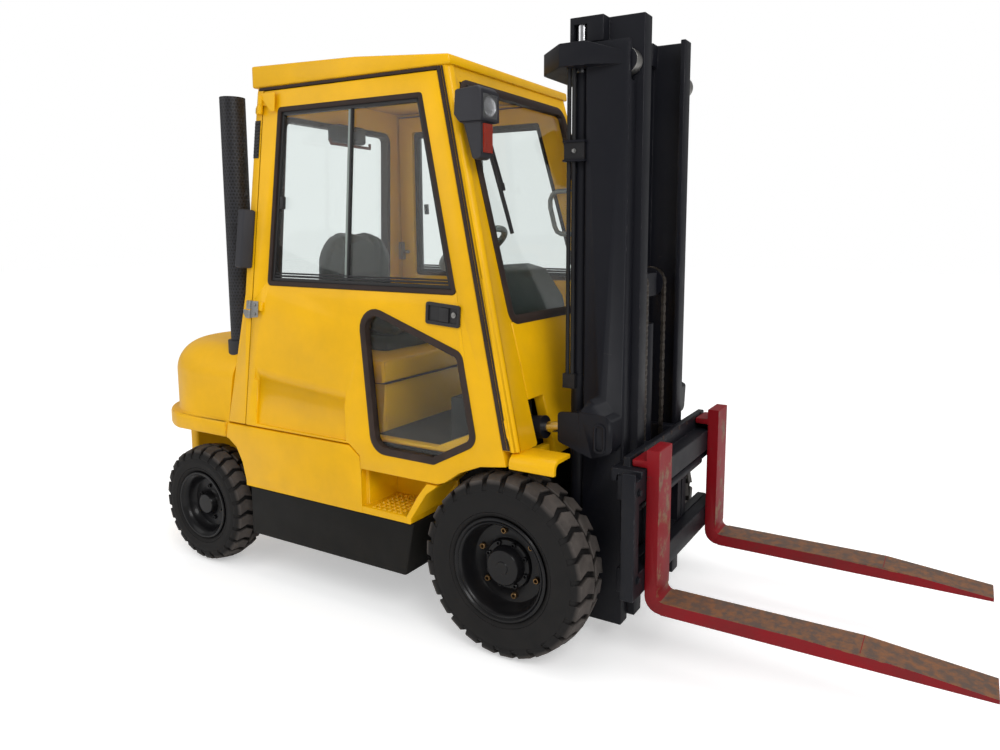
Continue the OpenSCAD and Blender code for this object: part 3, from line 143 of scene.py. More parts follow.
# Shader helpers
class Shade:
    """Adds nodes to one node tree and links them."""

    def __init__(self, tree):
        self.tree = tree

    def feed(self, node, inputs):
        """Sets each named input to a value, or links an output to it."""
        for key, value in inputs.items():
            if isinstance(value, bpy.types.NodeSocket):
                self.tree.links.new(value, node.inputs[key])
            else:
                node.inputs[key].default_value = value

    def add(self, kind, inputs=None, **settings):
        node = self.tree.nodes.new(kind)
        for key, value in settings.items():
            setattr(node, key, value)
        self.feed(node, inputs or {})
        return node

    def noise(self, vector, scale, detail=4.0, roughness=0.55):
        inputs = {"Vector": vector, "Scale": scale, "Detail": detail, "Roughness": roughness}
        return self.add("ShaderNodeTexNoise", inputs).outputs["Fac"]

    def remap(self, value, low, high, to_low=0.0, to_high=1.0):
        inputs = {"Value": value, "From Min": low, "From Max": high, "To Min": to_low, "To Max": to_high}
        return self.add("ShaderNodeMapRange", inputs, clamp=True).outputs["Result"]

    def calc(self, operation, a, b=0.0):
        return self.add("ShaderNodeMath", {0: a, 1: b}, operation=operation).outputs["Value"]

    def mix(self, factor, a, b):
        return self.add("ShaderNodeMix", {0: factor, 6: a, 7: b}, data_type="RGBA").outputs[2]

    def split(self, vector):
        return self.add("ShaderNodeSeparateXYZ", {"Vector": vector}).outputs

    def worn(self):
        return self.add("ShaderNodeAttribute", attribute_name="worn").outputs["Fac"]

    def place(self, group, vector, **values):
        return self.add("ShaderNodeGroup", {"Vector": vector, **values}, node_tree=group).outputs[0]

    def bump(self, height, strength, distance):
        inputs = {"Height": height, "Strength": strength, "Distance": distance}
        return self.add("ShaderNodeBump", inputs).outputs["Normal"]

    def surface(self, inputs):
        self.feed(self.tree.nodes["Principled BSDF"], inputs)

    def light_path(self):
        """The light path's outputs, and 1 for what the camera sees straight or through glass."""
        path = self.add("ShaderNodeLightPath").outputs
        return path, self.calc("MAXIMUM", path["Is Camera Ray"], path["Is Transmission Ray"])


def srgb(r, g, b):
    """A display colour of 0 to 255 as linear values."""
    def linear(value):
        value /= 255
        return value / 12.92 if value <= 0.04045 else ((value + 0.055) / 1.055) ** 2.4
    return (linear(r), linear(g), linear(b), 1)


def times(colour, factor, more=0.0):
    return tuple(c * factor + more for c in colour[:3]) + (1,)


def new_group(name, output, **inputs):
    """A shader group over a vector, with named numbers as its inputs and one number as its output."""
    tree = bpy.data.node_groups.new(name, "ShaderNodeTree")
    tree.interface.new_socket("Vector", in_out="INPUT", socket_type="NodeSocketVector")
    for label, value in inputs.items():
        socket = tree.interface.new_socket(label, in_out="INPUT", socket_type="NodeSocketFloat")
        socket.default_value = value
    tree.interface.new_socket(output, in_out="OUTPUT", socket_type="NodeSocketFloat")
    shade = Shade(tree)
    return shade, shade.add("NodeGroupInput").outputs, shade.add("NodeGroupOutput")


def make_dust_group():
    """Dust that lies thicker towards the ground and gathers in blotches."""
    shade, given, out = new_group("dust", "Mask", Floor=0.1, Reach=0.6, Scale=9.0)
    above = shade.calc("SUBTRACT", shade.split(given["Vector"])["Z"], given["Floor"])
    low = shade.remap(shade.calc("DIVIDE", above, given["Reach"]), 0.0, 1.0, 1.0, 0.12)
    blotch = shade.remap(shade.noise(given["Vector"], given["Scale"], 6.0, 0.62), 0.38, 0.72)
    shade.feed(out, {"Mask": shade.calc("MULTIPLY", low, blotch)})
    return shade.tree


def make_scuff_group():
    """Short worn streaks and specks where paint has rubbed through."""
    shade, given, out = new_group("scuffs", "Mask", Scale=14.0, Spread=0.66)
    patches = shade.noise(given["Vector"], given["Scale"], 8.0, 0.7)
    stretch = shade.add("ShaderNodeVectorMath", {0: given["Vector"], 1: (1.0, 2.2, 9.0)},
                        operation="MULTIPLY")
    streaks = shade.noise(stretch.outputs["Vector"], given["Scale"], 5.0, 0.6)
    both = shade.calc("MULTIPLY", shade.calc("ADD", patches, streaks), 0.5)
    rest = shade.calc("SUBTRACT", both, given["Spread"])
    shade.feed(out, {"Mask": shade.remap(rest, -0.02, 0.03)})
    return shade.tree


def make_ripple_group():
    """Fine ripple of sprayed paint over slow waves in the sheet."""
    shade, given, out = new_group("paint_ripple", "Height", Fine=260.0, Waves=3.0)
    fine = shade.noise(given["Vector"], given["Fine"], 2.0, 0.5)
    slow = shade.noise(given["Vector"], given["Waves"], 2.0, 0.5)
    shade.feed(out, {"Height": shade.calc("ADD", fine, shade.calc("MULTIPLY", slow, 3.0))})
    return shade.tree


DUST = make_dust_group()
SCUFFS = make_scuff_group()
RIPPLE = make_ripple_group()


def new_material(name):
    material = bpy.data.materials.new(name)
    material.use_nodes = True
    shade = Shade(material.node_tree)
    return material, shade


def surface(inputs_of):
    """Turns a function that gives a surface's inputs into one that makes a named material with them."""
    def make(name, *values, **settings):
        material, shade = new_material(name)
        coords = shade.add("ShaderNodeTexCoord").outputs["Object"]
        shade.surface(inputs_of(shade, coords, *values, **settings))
        return material
    return make


@surface
def paint(shade, coords, colour, scuffed, dusty, rough=(0.28, 0.6), dust=(0.1, 0.7, 0.5), spread=0.62,
          coat=0.08, ripple=0.12, rub=None):
    """Sprayed paint with faded patches, specks, dust near the ground and edges rubbed to two other colours, which
    on the black mast are partly wear and partly painted highlight.
    """
    colour = srgb(*colour)
    floor, reach, amount = dust
    patches = shade.remap(shade.noise(coords, 2.6, 5.0, 0.6), 0.35, 0.7)
    base = shade.mix(patches, colour, times(colour, 0.82, 0.004))
    dust_mask = shade.calc("MULTIPLY", shade.place(DUST, coords, Floor=floor, Reach=reach), amount)
    base = shade.mix(dust_mask, base, srgb(*dusty))
    base = shade.mix(shade.place(SCUFFS, coords, Spread=spread), base, srgb(*scuffed))
    # Rounded edges get rust or lighter tones: real wear, and on the black mast partly painted highlight.
    if rub:
        spots = shade.remap(shade.noise(coords, 30.0, 6.0, 0.7), 0.42, 0.6)
        bare_and_sheen = shade.mix(spots, *(srgb(*tone) for tone in rub))
        rubbed = shade.calc("ADD", shade.worn(), shade.noise(coords, 15.0, 8.0, 0.68))
        base = shade.mix(shade.remap(rubbed, 1.47, 1.56), base, bare_and_sheen)
    gloss = shade.remap(shade.noise(coords, 6.0, 4.0, 0.6), 0.3, 0.7, rough[0], rough[0] + 0.12)
    return {
        "Base Color": base,
        "Roughness": shade.calc("MAXIMUM", gloss, shade.calc("MULTIPLY", dust_mask, rough[1])),
        "Specular IOR Level": 0.2, "Coat Weight": coat, "Coat Roughness": 0.12,
        "Normal": shade.bump(shade.place(RIPPLE, coords), ripple, 0.0006),
    }


@surface
def rubber(shade, coords, colour, dusty, dust=(0.0, 0.7, 0.55), rough=0.72, rubbed=None):
    colour = srgb(*colour)
    floor, reach, amount = dust
    mask = shade.calc("MULTIPLY", shade.place(DUST, coords, Floor=floor, Reach=reach, Scale=14.0), amount)
    patches = shade.remap(shade.noise(coords, 7.0, 6.0, 0.65), 0.3, 0.75)
    base = shade.mix(mask, shade.mix(patches, colour, times(colour, 1.7)), srgb(*dusty))
    if rubbed:
        uneven = shade.remap(shade.noise(coords, 20.0, 6.0, 0.6), 0.25, 0.65, 0.45, 1.0)
        base = shade.mix(shade.calc("MULTIPLY", shade.worn(), uneven), base, srgb(*rubbed))
    return {
        "Base Color": base, "Roughness": shade.remap(patches, 0, 1, rough - 0.12, rough + 0.1),
        "Specular IOR Level": 0.25, "Normal": shade.bump(shade.noise(coords, 420.0, 3.0, 0.6), 0.25, 0.0006),
    }


@surface
def metal(shade, coords, colour, rough, stain=None):
    colour = srgb(*colour)
    stretch = shade.add("ShaderNodeMapping", {"Vector": coords, "Scale": (1.0, 1.0, 40.0)})
    lines = shade.noise(stretch.outputs["Vector"], 40.0, 4.0, 0.6)
    base = shade.mix(shade.remap(lines, 0.3, 0.7), colour, times(colour, 0.75))
    metallic = 1.0
    if stain:
        spots = shade.remap(shade.noise(coords, 16.0, 7.0, 0.68), 0.42, 0.7)
        base = shade.mix(spots, base, srgb(*stain))
        metallic = shade.remap(spots, 0, 1, 1.0, 0.1)
    return {
        "Base Color": base, "Metallic": metallic,
        "Roughness": shade.remap(lines, 0.3, 0.7, rough, rough + 0.15),
        "Normal": shade.bump(lines, 0.06, 0.0004),
    }


@surface
def plastic(shade, coords, colour, rough=0.5, grain=900.0, strength=0.2):
    colour = srgb(*colour)
    patches = shade.remap(shade.noise(coords, 5.0, 5.0, 0.6), 0.3, 0.75)
    cells = shade.add("ShaderNodeTexVoronoi", {"Vector": coords, "Scale": grain})
    return {
        "Base Color": shade.mix(patches, colour, times(colour, 1.35)),
        "Roughness": shade.remap(patches, 0, 1, rough, rough + 0.14),
        "Normal": shade.bump(cells.outputs["Distance"], strength, 0.0004),
    }


@surface
def window_glass(shade, coords, tint):
    """Thin safety glass with a faint film of dust."""
    film = shade.remap(shade.noise(coords, 5.0, 5.0, 0.6), 0.45, 0.8, 0.0, 0.07)
    return {"Base Color": tint, "Transmission Weight": 1.0, "IOR": 1.01, "Coat Weight": 0.5,
            "Coat Roughness": 0.02, "Roughness": film}


@surface
def lens(shade, coords, colour, transmission, ribs):
    wave = shade.add("ShaderNodeTexWave", {"Vector": coords, "Scale": ribs}, bands_direction="Y")
    return {
        "Base Color": colour, "Transmission Weight": transmission, "Coat Weight": 0.6,
        "Roughness": shade.remap(shade.noise(coords, 30.0), 0.3, 0.7, 0.08, 0.2),
        "Normal": shade.bump(wave.outputs["Fac"], 0.5, 0.002),
    }


@surface
def guard(shade, coords, colour, foot):
    """Black heat shield with staggered rows of small holes round an upright axis, above its foot, with painted
    shade in the holes.
    """
    colour = srgb(*colour)
    calc = shade.calc
    row_height, holes_round = 0.014, 24
    x, y, z = shade.split(coords)

    def off_centre(value):
        """How far a value is from the middle of its whole-number cell, from 0 to 0.5, squared."""
        away = calc("SUBTRACT", calc("FRACT", value), 0.5)
        return calc("MULTIPLY", away, away)

    angle = calc("ARCTAN2", calc("SUBTRACT", y, foot.y), calc("SUBTRACT", x, foot.x))
    rows = calc("DIVIDE", z, row_height)
    odd = calc("FLOORED_MODULO", calc("FLOOR", rows), 2.0)
    columns = calc("ADD", calc("MULTIPLY", angle, holes_round / (2 * math.pi)), calc("MULTIPLY", odd, 0.5))
    far = calc("SQRT", calc("ADD", off_centre(columns), off_centre(rows)))
    above = shade.remap(z, foot.z, foot.z + 0.004)
    holes = calc("MULTIPLY", shade.remap(far, 0.26, 0.33, 1.0, 0.0), above)
    sooty = shade.remap(shade.noise(coords, 9.0, 6.0, 0.65), 0.35, 0.7)
    base = shade.mix(sooty, colour, times(colour, 2.2))
    # Near-black in the holes is painted shade of the hollow behind the shield.
    return {
        "Base Color": shade.mix(holes, base, (0.001, 0.001, 0.001, 1)),
        "Roughness": shade.remap(sooty, 0, 1, 0.42, 0.6),
        "Normal": shade.bump(calc("SUBTRACT", 1.0, holes), 0.8, 0.002),
    }


RUST = ((108, 66, 22), (160, 104, 30))
M = {
    "yellow": paint("yellow_paint", (243, 184, 0), (176, 116, 8), (206, 152, 30), dust=(0.35, 0.5, 0.3),
                    spread=0.69, rub=RUST),
    "cast_yellow": paint("cast_yellow", (241, 182, 2), (150, 92, 14), (200, 148, 34), rough=(0.34, 0.6),
                         dust=(0.5, 0.4, 0.3), spread=0.675, ripple=0.5, rub=RUST),
    # Its lighter grey rounded edges are partly wear and partly painted highlight.
    "mast": paint("mast_black", (19, 20, 27), (44, 42, 43), (46, 44, 44), rough=(0.4, 0.55),
                  dust=(0.1, 0.9, 0.3), spread=0.66, coat=0.0, rub=((66, 64, 68), (92, 90, 92))),
    "chassis": paint("chassis_black", (20, 19, 17), (44, 40, 35), (48, 43, 36), rough=(0.55, 0.7),
                     dust=(0.15, 0.3, 0.22), spread=0.66, coat=0.0, rub=((70, 62, 52), (52, 46, 40))),
    "rim": paint("rim_black", (12, 12, 15), (34, 31, 29), (44, 39, 35), rough=(0.28, 0.55),
                 dust=(0.1, 0.4, 0.25), spread=0.67, coat=0.15),
    "fork": paint("fork_red", (136, 8, 21), (84, 48, 40), (74, 40, 36), rough=(0.42, 0.65),
                  dust=(0.2, 0.3, 0.45), coat=0.05, ripple=0.4, rub=((94, 77, 68), (130, 88, 60))),
    "iron": paint("engine_iron", (40, 40, 42), (70, 60, 52), (60, 54, 48), rough=(0.55, 0.7), coat=0.0),
    "chrome": metal("chrome_rod", (225, 225, 228), 0.12),
    "steel": metal("bright_steel", (168, 166, 162), 0.32),
    "zinc": metal("zinc_bracket", (172, 172, 170), 0.42),
    "brass": metal("dull_brass", (150, 120, 84), 0.45),
    "chain": metal("oiled_chain", (112, 104, 96), 0.36, stain=(24, 21, 20)),
    "tyre": rubber("tyre_rubber", (20, 19, 19), (56, 51, 47), dust=(0.0, 0.7, 0.2), rubbed=(82, 76, 72)),
    "seal": rubber("seal_rubber", (44, 34, 30), (90, 72, 58), dust=(0.4, 1.0, 0.25), rough=0.6),
    "hose": rubber("hose_rubber", (24, 24, 26), (70, 66, 62), rough=0.5),
    "mat": rubber("floor_mat", (30, 30, 30), (96, 88, 78), dust=(0.65, 0.3, 0.5)),
    "trim": plastic("trim_plastic", (36, 43, 40), 0.45),
    "lamp_body": plastic("lamp_plastic", (38, 38, 43), 0.5, 1200.0, 0.12),
    "black": plastic("black_plastic", (30, 29, 30), 0.42, 800.0),
    "pane_edge": plastic("pane_edge", (118, 127, 122), 0.25, 300.0, 0.05),
    "grey": plastic("grey_plastic", (120, 124, 122), 0.4),
    "red_brown": plastic("red_brown_plastic", (96, 52, 44), 0.45),
    "vinyl": plastic("seat_vinyl", (34, 41, 39), 0.45, 700.0, 0.04),
    "glass": window_glass("cab_glass", (0.85, 0.885, 0.875, 1)),
    "clear": lens("lamp_clear", (0.97, 0.98, 0.98, 1), 0.92, 60.0),
    "orange": lens("lamp_orange", srgb(165, 40, 10), 0.25, 80.0),
    "stack": guard("stack_black", (27, 27, 32), at(-1.440, -0.424, 1.04)),
}


# Mesh helpers
def whole(bm):
    return bm.verts[:] + bm.edges[:] + bm.faces[:]


def shift(bm, move):
    bmesh.ops.translate(bm, vec=move, verts=bm.verts[:])


def rotate(bm, angle, axis):
    bmesh.ops.rotate(bm, cent=(0, 0, 0), matrix=Matrix.Rotation(angle, 3, axis), verts=bm.verts[:])


def face_out(bm):
    bmesh.ops.recalc_face_normals(bm, faces=bm.faces[:])


def extrude(bm, move):
    """Gives a bmesh of flat faces a thickness."""
    made = bmesh.ops.extrude_face_region(bm, geom=bm.faces[:])["geom"]
    bmesh.ops.translate(bm, vec=move, verts=[v for v in made if isinstance(v, bmesh.types.BMVert)])
    face_out(bm)


def bevel(bm, edges, width, segments, clamp):
    return bmesh.ops.bevel(bm, geom=edges, offset=width, offset_type="OFFSET", segments=segments, profile=0.5,
                           affect="EDGES", clamp_overlap=clamp, material=-1)["faces"]


def repeat_round(bm, count):
    """Repeats all that is in a bmesh in a full ring about the Y axis."""
    bmesh.ops.spin(bm, geom=whole(bm), cent=(0, 0, 0), axis=Y_AXIS, angle=2 * math.pi * (count - 1) / count,
                   steps=count - 1, use_duplicate=True)


def repeat_along(bm, move, steps):
    bmesh.ops.spin(bm, geom=whole(bm), cent=(0, 0, 0), axis=(0, 0, 1), dvec=move, angle=0, steps=steps,
                   use_duplicate=True)


def join(bm, part):
    """Moves all of one bmesh into another."""
    mesh = bpy.data.meshes.new("part")
    part.to_mesh(mesh)
    part.free()
    bm.from_mesh(mesh)
    bpy.data.meshes.remove(mesh)


def shape(draw):
    """Lets a function draw in a bmesh of its own, and joins the result to a piece."""
    def add_shape(bm, *values):
        part = bmesh.new()
        draw(part, *values)
        join(bm, part)
    return add_shape


@shape
def add_box(part, low, high, edge=0.0, segments=2):
    low, high = Vector(low), Vector(high)
    bmesh.ops.create_cube(part, size=1.0)
    bmesh.ops.scale(part, vec=high - low, verts=part.verts[:])
    shift(part, (low + high) / 2)
    if edge:
        bevel(part, part.edges[:], edge, segments, True)


@shape
def add_plate(part, outline, y0, y1, edge=0.0, segments=2):
    """A plate between two Y values with an outline of (x, z) points."""
    part.faces.new([part.verts.new((x, y0, z)) for x, z in outline])
    extrude(part, (0, y1 - y0, 0))
    if edge:
        rims = [e for e in part.edges if abs(e.verts[0].co.y - e.verts[1].co.y) < 1e-6]
        bevel(part, rims, edge, segments, True)


@shape
def add_rod(part, start, end, radius, sides=20, edge=0.0, radius2=None):
    start, end = Vector(start), Vector(end)
    turn = (end - start).to_track_quat("Z", "Y").to_matrix().to_4x4()
    bmesh.ops.create_cone(part, cap_ends=True, segments=sides, radius1=radius,
                          radius2=radius if radius2 is None else radius2, depth=(end - start).length,
                          matrix=Matrix.Translation((start + end) / 2) @ turn)
    if edge:
        bevel(part, [e for e in part.edges if e.calc_face_angle(0) > 1.0], edge, 2, True)


@shape
def add_tube(part, path, radius, sides=12):
    """A round bar along a list of points, closed at both ends."""
    last = len(path) - 1
    tangents = [(path[min(i + 1, last)] - path[max(i - 1, 0)]).normalized() for i in range(len(path))]
    turn = tangents[0].to_track_quat("Z", "Y")
    places = []
    for i, tangent in enumerate(tangents):
        if i:
            turn = tangents[i - 1].rotation_difference(tangent) @ turn
        places.append(Matrix.Translation(path[i]) @ turn.to_matrix().to_4x4())
    bmesh.ops.create_circle(part, cap_ends=False, radius=radius, segments=sides, matrix=places[0])
    edges = part.edges[:]
    bmesh.ops.holes_fill(part, edges=edges)
    for before, after in zip(places, places[1:]):
        made = bmesh.ops.extrude_edge_only(part, edges=edges)["geom"]
        ring = [v for v in made if isinstance(v, bmesh.types.BMVert)]
        edges = [e for e in made if isinstance(e, bmesh.types.BMEdge)]
        bmesh.ops.transform(part, matrix=after @ before.inverted(), verts=ring)
    bmesh.ops.holes_fill(part, edges=edges)
    face_out(part)


@shape
def add_lathe(part, profile, centre=(0, 0, 0), steps=72):
    """A turned shape about the Y axis through a centre, from a closed outline of (radius, y) points."""
    verts = [part.verts.new((r, y, 0)) for r, y in profile]
    edges = [part.edges.new(pair) for pair in zip(verts, verts[1:] + verts[:1])]
    bmesh.ops.spin(part, geom=verts + edges, cent=(0, 0, 0), axis=Y_AXIS, angle=2 * math.pi, steps=steps,
                   use_merge=True, use_duplicate=False)
    bmesh.ops.remove_doubles(part, verts=part.verts[:], dist=1e-5)
    face_out(part)
    shift(part, centre)


def add_bolt(bm, place, axis, size, height):
    """A hexagon head on a washer, standing along an axis."""
    place, axis = Vector(place), Vector(axis)
    add_rod(bm, place, place + axis * height * 0.25, size * 1.25, 16)
    add_rod(bm, place, place + axis * height, size, 6, size * 0.12)


def oblong(x0, x1, z0, z1):
    return [(x0, z0), (x1, z0), (x1, z1), (x0, z1)]


def rounded(points, steps=7):
    """An outline with each corner (x, z, radius) turned into an arc."""
    outline = []
    for i, (x, z, radius) in enumerate(points):
        corner = Vector((x, z))
        back = (Vector(points[i - 1][:2]) - corner).normalized()
        ahead = (Vector(points[(i + 1) % len(points)][:2]) - corner).normalized()
        half = back.angle(ahead) / 2
        centre = corner + (back + ahead).normalized() * radius / math.sin(half)
        start = corner + back * radius / math.tan(half) - centre
        end = corner + ahead * radius / math.tan(half) - centre
        turn = math.atan2(start.x * end.y - start.y * end.x, start.dot(end))
        outline += [tuple(centre + Matrix.Rotation(turn * k / steps, 2) @ start) for k in range(steps + 1)]
    return outline


def inside(outline, distance):
    """An outline moved inwards by a distance."""
    area = sum(a[0] * b[1] - a[1] * b[0] for a, b in zip(outline, outline[1:] + outline[:1]))
    sign = 1 if area > 0 else -1
    moved = []
    for i, point in enumerate(outline):
        here = Vector(point)
        back = (here - Vector(outline[i - 1])).normalized()
        ahead = (Vector(outline[(i + 1) % len(outline)]) - here).normalized()
        normal = Vector((-back.y - ahead.y, back.x + ahead.x)).normalized() * sign
        cosine = max(0.3, normal.dot(Vector((-back.y, back.x)) * sign))
        moved.append(tuple(here + normal * distance / cosine))
    return moved


@shape
def add_seal(part, outline, y0, y1, width, bulge=0.0):
    """A closed strip along the inside of an outline, rounded on its outer face when it has a bulge."""
    arc = [(0.22, y0 - bulge * 0.75), (0.5, y0 - bulge), (0.78, y0 - bulge * 0.75)] if bulge else []
    loops = []
    for share, y in [(0.0, y1), (0.0, y0), *arc, (1.0, y0), (1.0, y1)]:
        verts = [part.verts.new((a[0] + (b[0] - a[0]) * share, y, a[1] + (b[1] - a[1]) * share))
                 for a, b in zip(outline, inside(outline, width))]
        loops.append([part.edges.new(pair) for pair in zip(verts, verts[1:] + verts[:1])])
    for first, second in zip(loops, loops[1:] + loops[:1]):
        bmesh.ops.bridge_loops(part, edges=first + second)
    face_out(part)


def piece(name, bm, material, body, like, replaces=(), smooth=35, matrix=None):
    """Makes an object of a bmesh that rides a body, with one of the named materials. The node that it is like is
    not used.
    """
    if matrix is not None:
        bmesh.ops.transform(bm, matrix=matrix, verts=bm.verts[:])
        if matrix.determinant() < 0:
            bmesh.ops.reverse_faces(bm, faces=bm.faces[:])
    mesh = bpy.data.meshes.new(name)
    bm.to_mesh(mesh)
    bm.free()
    mesh.materials.append(M[material])
    mesh.shade_smooth()
    mesh.set_sharp_from_angle(angle=math.radians(smooth))
    made = show(name, mesh)
    if body:
        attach(made, body)
    if replaces:
        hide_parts(*replaces)
    return made


def build(name, material, body, like, *shapes, **settings):
    """A piece of several shapes, each given as its function and that function's values."""
    bm = bmesh.new()
    for add_shape, *values in shapes:
        add_shape(bm, *values)
    return piece(name, bm, material, body, like, **settings)


# Plain finishes on solids that keep their own shape
for material, nodes in {
    "iron": ["engine_block"], "mat": ["floor_plate"], "stack": ["exhaust_stack"], "grey": ["steering_wheel"],
    "chassis": ["drive_axle", "steer_axle", "knuckle_right", "knuckle_left"], "hose": ["mast_hoses"],
    "glass": ["cab_glass", "door_right_glass", "door_left_glass"], "clear": ["lamp_lenses"],
    "orange": ["indicator_lenses"], "chrome": ["lift_rods", "tilt_rod_right", "tilt_rod_left"],
    "mast": ["lift_cylinders", "free_lift_barrel", "crosshead", "tilt_barrel_right", "tilt_barrel_left"],
}.items():
    for node in nodes:
        NODES[node].data.materials.clear()
        NODES[node].data.materials.append(M[material])


def softened(node, material, width):
    """Stands a copy of a node with rounded edges in its place, and marks the crests of these as worn; on the mast
    the colour these crests get is partly painted highlight.
    """
    bm = bmesh.new()
    bm.from_mesh(NODES[node].data)
    bmesh.ops.remove_doubles(bm, verts=bm.verts[:], dist=2e-5)
    bmesh.ops.dissolve_limit(bm, angle_limit=math.radians(0.6), verts=bm.verts[:], edges=bm.edges[:])
    bmesh.ops.connect_verts_concave(bm, faces=bm.faces[:])
    worn = bm.verts.layers.float.new("worn")
    sharp = [e for e in bm.edges if len(e.link_faces) == 2 and e.calc_face_angle(0) > math.radians(30)]
    short = {v for e in sharp if e.calc_length() < width for v in e.verts}
    chosen = [e for e in sharp if e.calc_length() >= width and not short.intersection(e.verts)]
    cut = set(bevel(bm, chosen, width, 2, False))
    for v in bm.verts:
        v[worn] = float(all(f in cut for f in v.link_faces))
    piece(node + "_shell", bm, material, BODY_OF[node], node, replaces=[node], smooth=30)


# Sheet metal and castings with rounded edges
for node, material, width in (
    ("counterweight", "cast_yellow", 0.012), ("side_panel_right", "yellow", 0.005),
    ("side_panel_left", "yellow", 0.005), ("front_fenders", "yellow", 0.004),
    ("front_panel", "yellow", 0.006), ("engine_hood", "yellow", 0.018), ("cab_frame", "yellow", 0.008),
    ("cab_roof", "yellow", 0.008),
    ("door_right", "yellow", 0.005), ("door_left", "yellow", 0.005), ("chassis_frame", "chassis", 0.008),
    ("outer_mast", "mast", 0.004), ("inner_mast", "mast", 0.003), ("carriage", "mast", 0.003),
    ("side_shift", "mast", 0.004), ("fork_right", "fork", 0.005), ("fork_left", "fork", 0.005),
    ("dash_console", "trim", 0.014), ("seat_base", "trim", 0.01), ("lamp_housings", "lamp_body", 0.008),
):
    softened(node, material, width)


# Wheels
CROWN_DROP, SHOULDER_IN = 0.014, 0.016


@shape
def add_lugs(part, radius, half_w, count, turn, mirrored):
    """One row of chevron-edged lugs that run over the shoulder of a tyre."""
    pitch = 2 * math.pi / count
    shoulder = half_w - SHOULDER_IN
    depth, over, slant, length, bend = 0.0155, 0.034, 0.16, 0.74, 0.52
    edge = [(-0.05, -shoulder - over), (-0.05, -shoulder), (slant, -shoulder * bend), (-0.02, -0.004)]
    outline = edge + [(s + length, y) for s, y in reversed(edge)]
    part.faces.new([part.verts.new((s * pitch * radius, y, 0)) for s, y in outline])
    extrude(part, (0, 0, depth))
    bevel(part, [e for e in part.edges if all(v.co.z > depth / 2 for v in e.verts)], 0.0035, 1, True)
    for y in (-shoulder - over / 2, -shoulder, -shoulder * bend, -shoulder * 0.25):
        bmesh.ops.bisect_plane(part, geom=whole(part), plane_co=(0, y, 0), plane_no=Y_AXIS, dist=1e-6)
    for v in part.verts:
        s, y, h = v.co
        past = max(0.0, -y - shoulder)
        r = radius - 0.0006 - depth + h - CROWN_DROP * min(1.0, -y / shoulder)
        y = max(y, -shoulder)
        if past:
            r -= past * 0.9
            y -= past * 0.40 + (h - depth) * min(1.0, past / 0.01) * 0.35
        angle = s / radius + turn * pitch - math.pi / 2
        v.co = Vector((r * math.cos(angle), y, r * math.sin(angle)))
    if mirrored:
        bmesh.ops.scale(part, vec=(1, -1, 1), verts=part.verts[:])
    face_out(part)
    repeat_round(part, count)


def tyre_profile(radius, half_w, bead):
    """Half of a tyre's section from its bead to its crown, as (radius, y) points on the outer side."""
    side = -half_w
    base = radius - 0.0165
    return [
        (bead, side + 0.024), (bead + 0.007, side + 0.019), (bead + 0.013, side + 0.0105),
        (bead + 0.022, side + 0.006), (bead + 0.026, side + 0.0045), (bead + 0.0275, side + 0.0062),
        (bead + 0.029, side + 0.0042), (bead + 0.05, side + 0.0015), (radius - 0.066, side + 0.0012),
        (radius - 0.052, side + 0.0045), (radius - 0.0505, side + 0.0068), (radius - 0.049, side + 0.0055),
        (radius - 0.038, side + 0.0105), (base - 0.0135, side + 0.019), (base - 0.009, side + 0.04),
        (base - 0.003, side + 0.07), (base, 0.0),
    ]


def make_tyre(name, body, centre, place, radius, half_w, rim_r, count):
    half = tyre_profile(radius, half_w, rim_r + 0.0008)
    made = build(name + "_tread", "tyre", body, name,
                 (add_lathe, half + [(r, -y) for r, y in reversed(half[:-1])], (0, 0, 0), 104),
                 (add_lugs, radius, half_w, count, 0.0, False), (add_lugs, radius, half_w, count, 0.5, True),
                 replaces=[name], smooth=38, matrix=place)
    worn = made.data.attributes.new("worn", "FLOAT", "POINT")
    for vert, value in zip(made.data.vertices, worn.data):
        r = math.hypot(vert.co.x - centre.x, vert.co.z - centre.z)
        crown = radius - CROWN_DROP * min(1.0, abs(vert.co.y - centre.y) / (half_w - SHOULDER_IN))
        value.value = max(0.0, min(1.0, (r - crown + 0.009) / 0.008))


FRONT_RIM = [
    (0.1796, -0.070), (0.1800, -0.078), (0.1870, -0.0835), (0.1885, -0.0885), (0.1850, -0.0918),
    (0.1790, -0.0912), (0.1760, -0.0870), (0.1735, -0.0845), (0.1715, -0.0870), (0.1680, -0.0878),
    (0.1650, -0.0850), (0.1615, -0.0800), (0.1575, -0.0640), (0.1545, -0.0440), (0.1515, -0.0250),
    (0.1440, -0.0155), (0.1300, -0.0130), (0.0960, -0.0130), (0.0930, -0.0150), (0.0920, -0.0240),
    (0.0880, -0.0290), (0.0720, -0.0310), (0.0690, -0.0350), (0.0665, -0.0590), (0.0620, -0.0650),
    (0.0400, -0.0662), (0.0240, -0.0662), (0.0220, -0.0690), (0.0, -0.0695), (0.0, -0.0562),
    (0.0404, -0.0562), (0.0404, 0.0810), (0.0640, 0.0810), (0.0640, 0.0040), (0.1560, 0.0040),
    (0.1630, 0.0120), (0.1660, 0.0850), (0.1720, 0.0890), (0.1796, 0.0850),
]
REAR_RIM = [
    (0.1446, -0.058), (0.1450, -0.0630), (0.1515, -0.0680), (0.1525, -0.0730), (0.1490, -0.0762),
    (0.1430, -0.0755), (0.1390, -0.0700), (0.1340, -0.0665), (0.1275, -0.0610), (0.1225, -0.0470),
    (0.1185, -0.0280), (0.1090, -0.0185), (0.0850, -0.0165), (0.0600, -0.0175), (0.0530, -0.0215),
    (0.0470, -0.0285), (0.0450, -0.0510), (0.0420, -0.0545), (0.0, -0.0548), (0.0, -0.0444),
    (0.0263, -0.0444), (0.0263, 0.0660), (0.0500, 0.0660), (0.0500, 0.0), (0.1270, 0.0),
    (0.1310, 0.0100), (0.1320, 0.0700), (0.1380, 0.0740), (0.1446, 0.0700),
]
